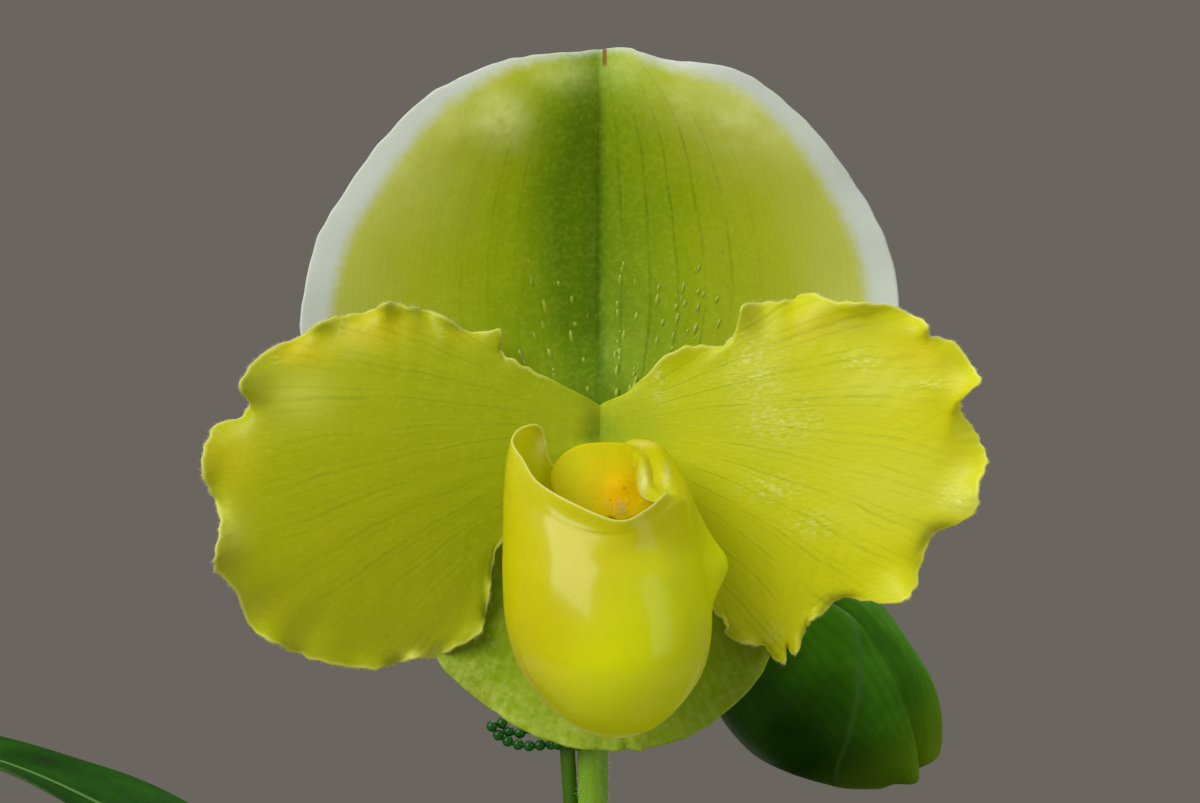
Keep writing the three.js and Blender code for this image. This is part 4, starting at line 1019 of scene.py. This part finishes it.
petal_left_margin = [
    (0.06, -0.6, 0), (-0.2, 1.5, 0), (-8.5, 6, -0.3), (-12.5, 8, 0), (-15, 10, 0.3), (-15, 13, -0.8),
    (-19.5, 12.5, 0.5), (-23.5, 15, -0.5), (-26.5, 16, 1), (-29.5, 16.5, -1), (-32, 17, -2),
    (-34.5, 16, 1.5), (-38.5, 15, 1), (-42, 14, -1), (-45, 12, 1.5), (-48.5, 10.5, 0), (-52, 7.5, -1.5),
    (-53.5, 4, -3), (-52.5, 2, 1), (-54, -0.5, 2), (-57.5, -1.5, 2), (-59, -5, 0), (-59, -9, -1),
    (-57.5, -12.5, 1), (-56.5, -16.5, -1.5), (-57, -20.5, -3), (-57, -23, -2), (-54.5, -26.5, 0.5),
    (-52.5, -32, 1.5), (-48.5, -34.5, 0), (-44.5, -36.5, 1), (-39, -38, 0), (-34, -38.5, -1),
    (-31, -37.8, 0.8), (-28, -37, -1), (-25, -37, 1), (-22, -35.5, -1), (-18, -33, -1.6),
    (-17.5, -30.5, 0.5), (-16.5, -27, -0.4), (-16.5, -24, 0.4), (-15, -19.5, 0), (-10.5, -14, 0),
    (-6.5, -9, 0), (-3, -6.2, 0), (-0.4, -5.2, 0), (0.06, -3, 0),
]
petal_thickness, petal_curl, petal_frill, petal_tooth = 0.9, 6, 0.4, 0.11
hair_count, hair_width, hairless_reach = 1300, 0.04, 16
ring, turn = blade_grid(0.01, 74, 640)
draw = np.random.default_rng(23)
for side, margin, middle, shining, painted_sheen_spots, gold_spots, painted_fold_shade_spots in [
    ("left", petal_left_margin, (-30, -9.5),
     [(-48.5, 8.5, 0.7, 1.4, 1), (-39, 13.5, 0.7, 1.5, 1), (-57, -17, 0.9, 1.4, 1),
      (-24, 12.5, 0.5, 1.2, 0.6)],
     [(-45, 3, 5, 4, 0.7), (-55.5, -17, 3, 3.6, 0.6), (-37, 12, 3, 3, 0.6), (-26, -36.5, 4, 1.2, 0.8)],
     [(-45, 9.5, 4.5, 2.4, 0.9), (-34, 13, 6, 3, 0.8), (-55, -6, 4, 6, 0.4), (-20, 12, 4, 2, 0.4)],
     [(-58, -5, 2, 4, 0.7), (-50, -28, 5, 4, 0.4), (-40, 15.5, 3, 1.2, 0.6)]),
    ("right", petal_right_margin, (26, -8),
     [(23.5, 7.4, 4, 5, 1), (27.5, -0.8, 5.5, 3.5, 0.9), (26, -10.8, 4.5, 2, 0.9), (32, -16.3, 4, 2, 0.8),
      (38.7, 8, 2.5, 1.4, 1), (48.9, 4.7, 2.4, 1, 1), (54, -12.5, 3, 1.6, 1), (9, 5, 0.8, 3.2, 1),
      (26.6, -32.5, 1, 2, 0.7)],
     [(41.5, 5, 6, 4, 0.7), (43, -11, 9, 7, 0.45), (54, -12.5, 3.5, 2.4, 0.9), (24, 7, 3.5, 6, 0.45),
      (28, -2, 7, 5, 0.25)],
     [(47.5, 9.5, 3.5, 2.6, 0.9), (31, 13, 3, 3.5, 0.5), (52, 2, 3, 3, 0.4)],
     [(37.7, 14, 6.5, 2.6, 1), (23, 12.5, 2, 3.5, 0.7), (52.5, 8, 2.5, 2, 0.8), (53.5, -5, 3, 3, 0.7)]),
]:
    name = "petal_" + side
    place_round = draw.uniform(0, 1, hair_count)
    sheet, roots, inner = (
        blade(margin, middle, at_ring, at_turn, petal_curl, petal_depth, petal_frill, petal_tooth)
        for at_ring, at_turn in ((ring, turn), (1.0, place_round), (0.97, place_round))
    )
    to_margin = margin_distance(sheet)
    x, z = sheet[..., 0], sheet[..., 2]
    fan, reach = vein_fan(x, z)
    half = np.maximum(soft_edge(to_margin, petal_thickness, 0.5), 0.3 * (1 - ease(reach, 3, 9)))
    put_blade(name, sheet, half, petal_skins[side], "petal", name, fan=fan, reach=reach,
              shine=patches(x, z, *shining), pale=patches(x, z, *painted_sheen_spots), gold=patches(x, z, *gold_spots),
              dusk=patches(x, z, *painted_fold_shade_spots), rim=(1 - ease(to_margin, 0.1, 1.2)) * ease(reach, 6, 14))
    far = (np.abs(roots[:, 0]) > hairless_reach) & (draw.uniform(size=hair_count) < 0.9)
    lean = unit(unit(roots - inner) + draw.normal(0, 0.35, roots.shape))[far]
    hairs(name + "_hairs", in_flower(roots[far]), in_flower(lean) - flower_centre,
          draw.uniform(0.25, 0.6, far.sum()), hair_width, hair_pale, "petal")

# ---------------------------------------------------------------- column and staminode
# The column stands in the flower's middle and carries a shield, the staminode, over the pouch's mouth.
# The shield is golden with a faint painted glow, an orange patch, fine dots and a few pale hairs at its foot.

column_at, _ = path_through([(0, 4.6, -6), (0, 0, -6.6), (0.4, -5.5, -7.4), (0.9, -11, -8.6)])
shield_centre, shield_lean = np.array([0.9, -12.4, -9.4]), np.radians(20)
shield_margin = [
    (0, 5.4, 0), (3.9, 5, 0.1), (7, 3, 0.3), (8, -0.8, 0.4), (6.6, -4.8, 0.2), (2.6, -6.9, 0), (0.8, -6.3, 0),
    (-1.4, -6.8, 0), (-6, -4.9, 0.2), (-8.2, -0.8, 0.4), (-7.4, 2.6, 0.3), (-4.4, 4.9, 0.1),
]


def on_shield(points):
    """Points of the shield, which leans out at its foot, at the column's end in the flower."""
    return in_flower(tipped(points, shield_lean, shield_centre))


def shield_depth(x, z):
    """A low dome towards the viewer with a small soft knob below its middle."""
    return -1.2 + 0.014 * (x * x + z * z) - 0.4 * np.exp(-(((x - 2) / 1.4) ** 2 + ((z + 1.6) / 1.2) ** 2))


# A faint golden emission makes the shield glow: painted light.
golden, place = tissue("staminode", 0.06, 0.3, (1.0, 0.7, 0.05), {
    "Roughness": 0.55, "Emission Color": colour(200, 186, 0), "Emission Strength": 0.06,
})
centre = place.carried("centre")
patch = 1 - (centre + place.grain(1.6, 3) * 1.6).step(0.8, 5.6)
dots = place.node("TexVoronoi", {}, {"Vector": place, "Scale": 1150})
outer_part = (centre * 0.1 + place.grain(1.5, 3)).step(0.7, 1.4)
wear(golden, {
    "Base Color": outer_part.blend((200, 180, 0), (186, 180, 0)).under(
        (patch * 0.85, 236, 182, 0),
        ((1 - dots.step(0.1, 0.28)) * patch.step(0.5, 0.9) * 0.8, 188, 92, 8),
    ),
    "Normal": place.grain(0.5, 2).relief(0.05, place.grain(2.2, 2).relief(0.15)),
})
shield_thickness, shield_curl = 1.4, 2
ring, turn = np.linspace(0.04, 1, 40)[:, None] ** 0.85, np.linspace(0, 1, 120, endpoint=False)[None]
sheet = blade(shield_margin, (0, 0), ring, turn, shield_curl, shield_depth)
put_blade("staminode", sheet, soft_edge(margin_distance(sheet), shield_thickness, 0.8), golden, "column",
          "column", where=on_shield, centre=np.hypot(sheet[..., 0] - 2.2, sheet[..., 2] + 2.9))
share = np.linspace(0, 1, 40)[:, None]
stub, _ = tube(column_at, share, circle(40), 2.3 + 0.2 * share, (1, 0, 0))
put_in_place("column_stub", in_flower(stub), golden, "column", centre=9.0)
draw = np.random.default_rng(29)
count = 34
x, z = draw.normal(2.2, 1, count), draw.uniform(-5.6, -3.6, count)
roots = np.stack([x, shield_depth(x, z) - 0.7, z], -1)
lean = [draw.normal(0, 0.35, count), np.full(count, -0.4), -1 + draw.normal(0, 0.2, count)]
lean = on_shield(unit(np.stack(lean, -1))) - on_shield(np.zeros(3))
hairs("staminode_hairs", on_shield(roots), lean, draw.uniform(0.8, 1.6, count), 0.06, hair_pale, "column")

# ---------------------------------------------------------------- pouch
# The lip is a glossy yellow slipper, open at the top. Its sides roll in at the mouth, the left one
# stands up as a horn, and a flap of the right one bulges out as a shoulder.

# Sixteen lines from the free edge over the lip to the outside, from the front round by the right.
pouch_mouth = [
    ((2.6, -37.8, -14.5), (2.6, -37.5, -16.6)),
    ((6.4, -35.6, -13.1), (7, -35.6, -15.4)),
    ((9.2, -31, -10.9), (10.8, -30.4, -12.4)),
    ((8.2, -27.6, -12.4), (8.8, -27.8, -11.7), (9.6, -27.4, -11.4), (10.6, -27.4, -11.3),
     (11.5, -26.6, -11.6), (12.4, -25.8, -12.4)),
    ((6, -22.8, -11.8), (6.9, -23, -10.3), (8, -21.8, -10.2), (9.5, -22.4, -9.4), (10.9, -20.8, -9.3),
     (12.3, -20, -10.2)),
    ((5.3, -17.8, -9.4), (6.2, -18.4, -7.1), (7.5, -17.4, -7.6), (8.5, -17.8, -6.9), (9.6, -16.2, -6.5),
     (10.9, -15.8, -7.4)),
    ((5.1, -13.8, -7.8), (5.7, -14.2, -6.1), (6.6, -13.4, -5.8), (7.3, -13, -5), (7.9, -12.6, -4.3),
     (8.6, -12, -5)),
    ((3.2, -10.2, -6.6), (3.9, -9.6, -4), (4.9, -8.9, -4.6)),
    ((0, -8.2, -9), (0, -7.2, -10.6)),
    ((-6.9, -11.2, -7.4), (-6.8, -10.4, -8.2), (-6, -9.4, -10.4)),
    ((-8.6, -14.2, -2), (-8.9, -13.2, -1.8), (-9.3, -12.6, -3), (-9.6, -12.3, -5.6)),
    ((-11.4, -16.8, -1.7), (-11.8, -16.2, -2.6), (-12.2, -15.8, -5)),
    ((-12.7, -21, -3.6), (-13.1, -20.7, -4.8), (-13.4, -20.5, -6.6)),
    ((-10.9, -26.3, -6.3), (-11.8, -26, -6.9), (-12.6, -25.4, -8.3)),
    ((-8.6, -31.6, -9.4), (-9.2, -31.5, -10.4), (-9.8, -31.4, -12.4)),
    ((-3.4, -36.3, -12.3), (-3.6, -36.1, -14.4), (-3.9, -36.3, -15.9)),
]
pouch_ovals = [
    (-18.6, 13.7, 15.2, 0.1, -23), (-23, 14.2, 15.7, 0.6, -24.5), (-30, 14.3, 15.6, 1.3, -26),
    (-36, 12.8, 14.8, 1.7, -26.4), (-41, 9.3, 11.8, 2, -26.2), (-44.4, 5.2, 6.8, 2.2, -25.8),
]
pouch_toe = np.array([2.2, -25.4, -45.8])
flap_heights = [-28.6, -27, -25, -22, -20.5, -18.5, -15.5, -12]
flap_widths = [0, 0.7, 2.2, 4.3, 4.3, 3.3, 1.5, 0]
# How far round the ovals each line meets them, in radians past its even share: it then runs straight down.
meets_later = [0.18, 0.16, 0.17, 0.15, 0.17, 0.14, 0.06, 0, 0, 0.03, 0, -0.07, -0.14, -0.12, -0.04, 0.07]
pouch_thickness, mouth_levels, rows_between = 0.9, 6, 10
mouth_rows = rows_between * (mouth_levels - 1)
belly_row = mouth_rows + 3 * rows_between

turn = np.linspace(0, 1, 280, endpoint=False)
angle = 2 * np.pi * turn
stations = np.array([
    point_at(np.linspace(0, len(line) - 1, mouth_levels), np.arange(len(line)), np.array(line))
    for line in pouch_mouth
])
levels = [closed_curve(stations[:, level], turn) for level in range(mouth_levels)]
below = angle + closed_curve(np.array(meets_later)[:, None], turn)[:, 0]
for height, across, deep, middle_x, middle_y in pouch_ovals:
    oval = [middle_x + across * np.sin(below), middle_y - deep * np.cos(below), height + 0 * below]
    levels.append(np.stack(oval, -1))
beyond_toe = levels[-1] * [-1, -1, 1] + pouch_toe * [2, 2, 0]
bag = smooth_through([*levels, pouch_toe + 0 * beyond_toe, beyond_toe], rows_between)[:-rows_between - 1]
flap = np.interp(bag[..., 2], flap_heights, flap_widths) * ease(below, 1.4, 1.85) * (1 - ease(below, 2, 2.8))
bag[mouth_rows:, :, 0] += evened(flap, 6)[mouth_rows:]
normal = ring_normals(bag)
normal *= np.sign((normal[belly_row] * (bag[belly_row] - bag[belly_row].mean(0))).sum())
from_lip = run_along(bag)
half = soft_edge(from_lip, pouch_thickness, 0.4)[..., None]
turned_in = ease(np.abs(np.sin(angle + 0.15)), 0.3, 0.6) * (1 - ease(from_lip, 5, 8)) * (angle > 1)
bag_rings = np.concatenate([(bag + normal * half)[::-1], (bag - normal * half)[1:]])


def bag_values(outer, inner=None):
    """Values for the rings of the bag: up its outside from the toe to the lip, then down its inside."""
    return np.concatenate([outer[::-1], (outer if inner is None else inner)[1:]])


pouch_skin, place = tissue("pouch", 0.1, 0.4, (1.0, 0.9, 0.05), {
    "Coat Roughness": 0.17, "Subsurface Scale": 0.004, "Emission Strength": 0.16,
})
low, inner_wall = place.carried("low"), place.carried("inside")
# The right and lower side, which lies in shade, is painted lighter and greener: painted light standing in for
# light that comes through and round the pouch.
shaded_side_painted_lighter = (place.part("X") - low * 0.8 - 26 + place.grain(12, 3) * 4).step(-9, 13)
wear(pouch_skin, {
    "Base Color": shaded_side_painted_lighter.blend((188, 182, 0), (216, 228, 0)).under(
        (inner_wall * 0.8, 166, 180, 0),
        ((1 - place.carried("lip").step(0.1, 0.5)) * 0.5, 226, 226, 130),
        # Painted highlights on the rolled edges of the mouth.
        (place.carried("streak") * place.grain(2, 3).step(0.2, 0.7) * 0.6, 240, 240, 186),
        (place.grain(1.3, 4).step(0.5, 0.85) * 0.12, 214, 212, 60),
    ),
    "Roughness": 0.42 + place.grain(2) * 0.08,
    "Coat Weight": 0.1 + low.step(-41, -31) * 0.32 + place.carried("glossy") * 0.58,
    "Normal": place.grain(0.4, 2).relief(0.03, place.grain(4, 3).relief(0.18)),
    # The inside glows golden: painted light standing for light shining through the pouch's wall.
    "Emission Color": inner_wall.blend((0, 0, 0), (200, 186, 0)),
})
# Pale streaks on the rolled edges of the mouth: painted highlights.
streak = patches(bag[..., 0], bag[..., 2], (6.3, -9.6, 0.6, 1.8, 0.9), (9.7, -9, 0.5, 1.8, 0.6),
                 (-8.7, -3.8, 0.7, 2, 1.4), (7.5, -4.4, 2.2, 0.4, 0.4)) * (1 - ease(from_lip, 6, 9))
put_in_place("pouch", in_flower(bag_rings), pouch_skin, "pouch", "pouch", low=bag_values(bag[..., 2]),
             inside=bag_values(0 * from_lip, 1 + 0 * from_lip), lip=bag_values(from_lip),
             glossy=bag_values(turned_in), streak=bag_values(streak))

# ---------------------------------------------------------------- floor, light and camera
# The plant stands on a round pale table top under a broad soft light from the upper left, with weaker
# light from the right and from behind. The camera looks square into the flower.

bpy.ops.mesh.primitive_cylinder_add(vertices=128, radius=0.55, depth=0.02, location=(0, 0, -0.01))
table = bpy.context.object
table.name = "table_top"
pale_board, place = finish("pale board", {"Roughness": 0.7})
wear(pale_board, {"Base Color": place.grain(240, 2).blend((176, 172, 166), (184, 180, 174))})
table.data.materials.append(pale_board)

world = bpy.data.worlds.new("studio")
bpy.context.scene.world = world
world.use_nodes = True
background = world.node_tree.nodes["Background"]
direction = Link(world.node_tree.nodes.new("ShaderNodeTexCoord").outputs["Generated"])
upward = direction.node("SeparateXYZ", {}, {0: direction}, "Z")
surround = upward.step(0.12, 0.75).blend((106, 101, 95), (160, 160, 160))
world.node_tree.links.new(surround.socket, background.inputs["Color"])
background.inputs["Strength"].default_value = 1.0

aim = Vector(flower_centre / 1000)
for name, azimuth, elevation, distance, width, height, power, tint in [
    ("key", -46, 40, 1.9, 1.7, 1.5, 43.0, (1, 0.985, 0.95)),
    ("fill", 64, 15, 1.9, 0.9, 1.6, 6.0, (0.95, 0.98, 1)),
    ("back", 160, 45, 1.9, 0.8, 0.8, 12.0, (1, 1, 1)),
]:
    lamp = bpy.data.lights.new(name, "AREA")
    lamp.shape, lamp.size, lamp.size_y, lamp.energy, lamp.color = "RECTANGLE", width, height, power, tint
    holder = bpy.data.objects.new(name, lamp)
    bpy.context.scene.collection.objects.link(holder)
    heading, rise = np.radians(azimuth), np.radians(elevation)
    away = Vector((np.sin(heading) * np.cos(rise), -np.cos(heading) * np.cos(rise), np.sin(rise)))
    holder.location = aim + away * distance
    holder.rotation_mode = "QUATERNION"
    holder.rotation_quaternion = away.to_track_quat("Z", "Y")

camera_distance, camera_rise = 456.6, 2.05
lens = bpy.data.cameras.new("camera")
lens.lens, lens.sensor_width = 90, 36
lens.clip_start, lens.clip_end = 0.01, 20
camera = bpy.data.objects.new("camera", lens)
bpy.context.scene.collection.objects.link(camera)
standpoint = Matrix.Translation(in_flower([0, -camera_distance, camera_rise]) / 1000)
camera.matrix_world = standpoint @ Matrix.Rotation(np.pi / 2 - flower_nod, 4, "X")
bpy.context.scene.camera = camera
bpy.context.scene.view_settings.view_transform = "Standard"
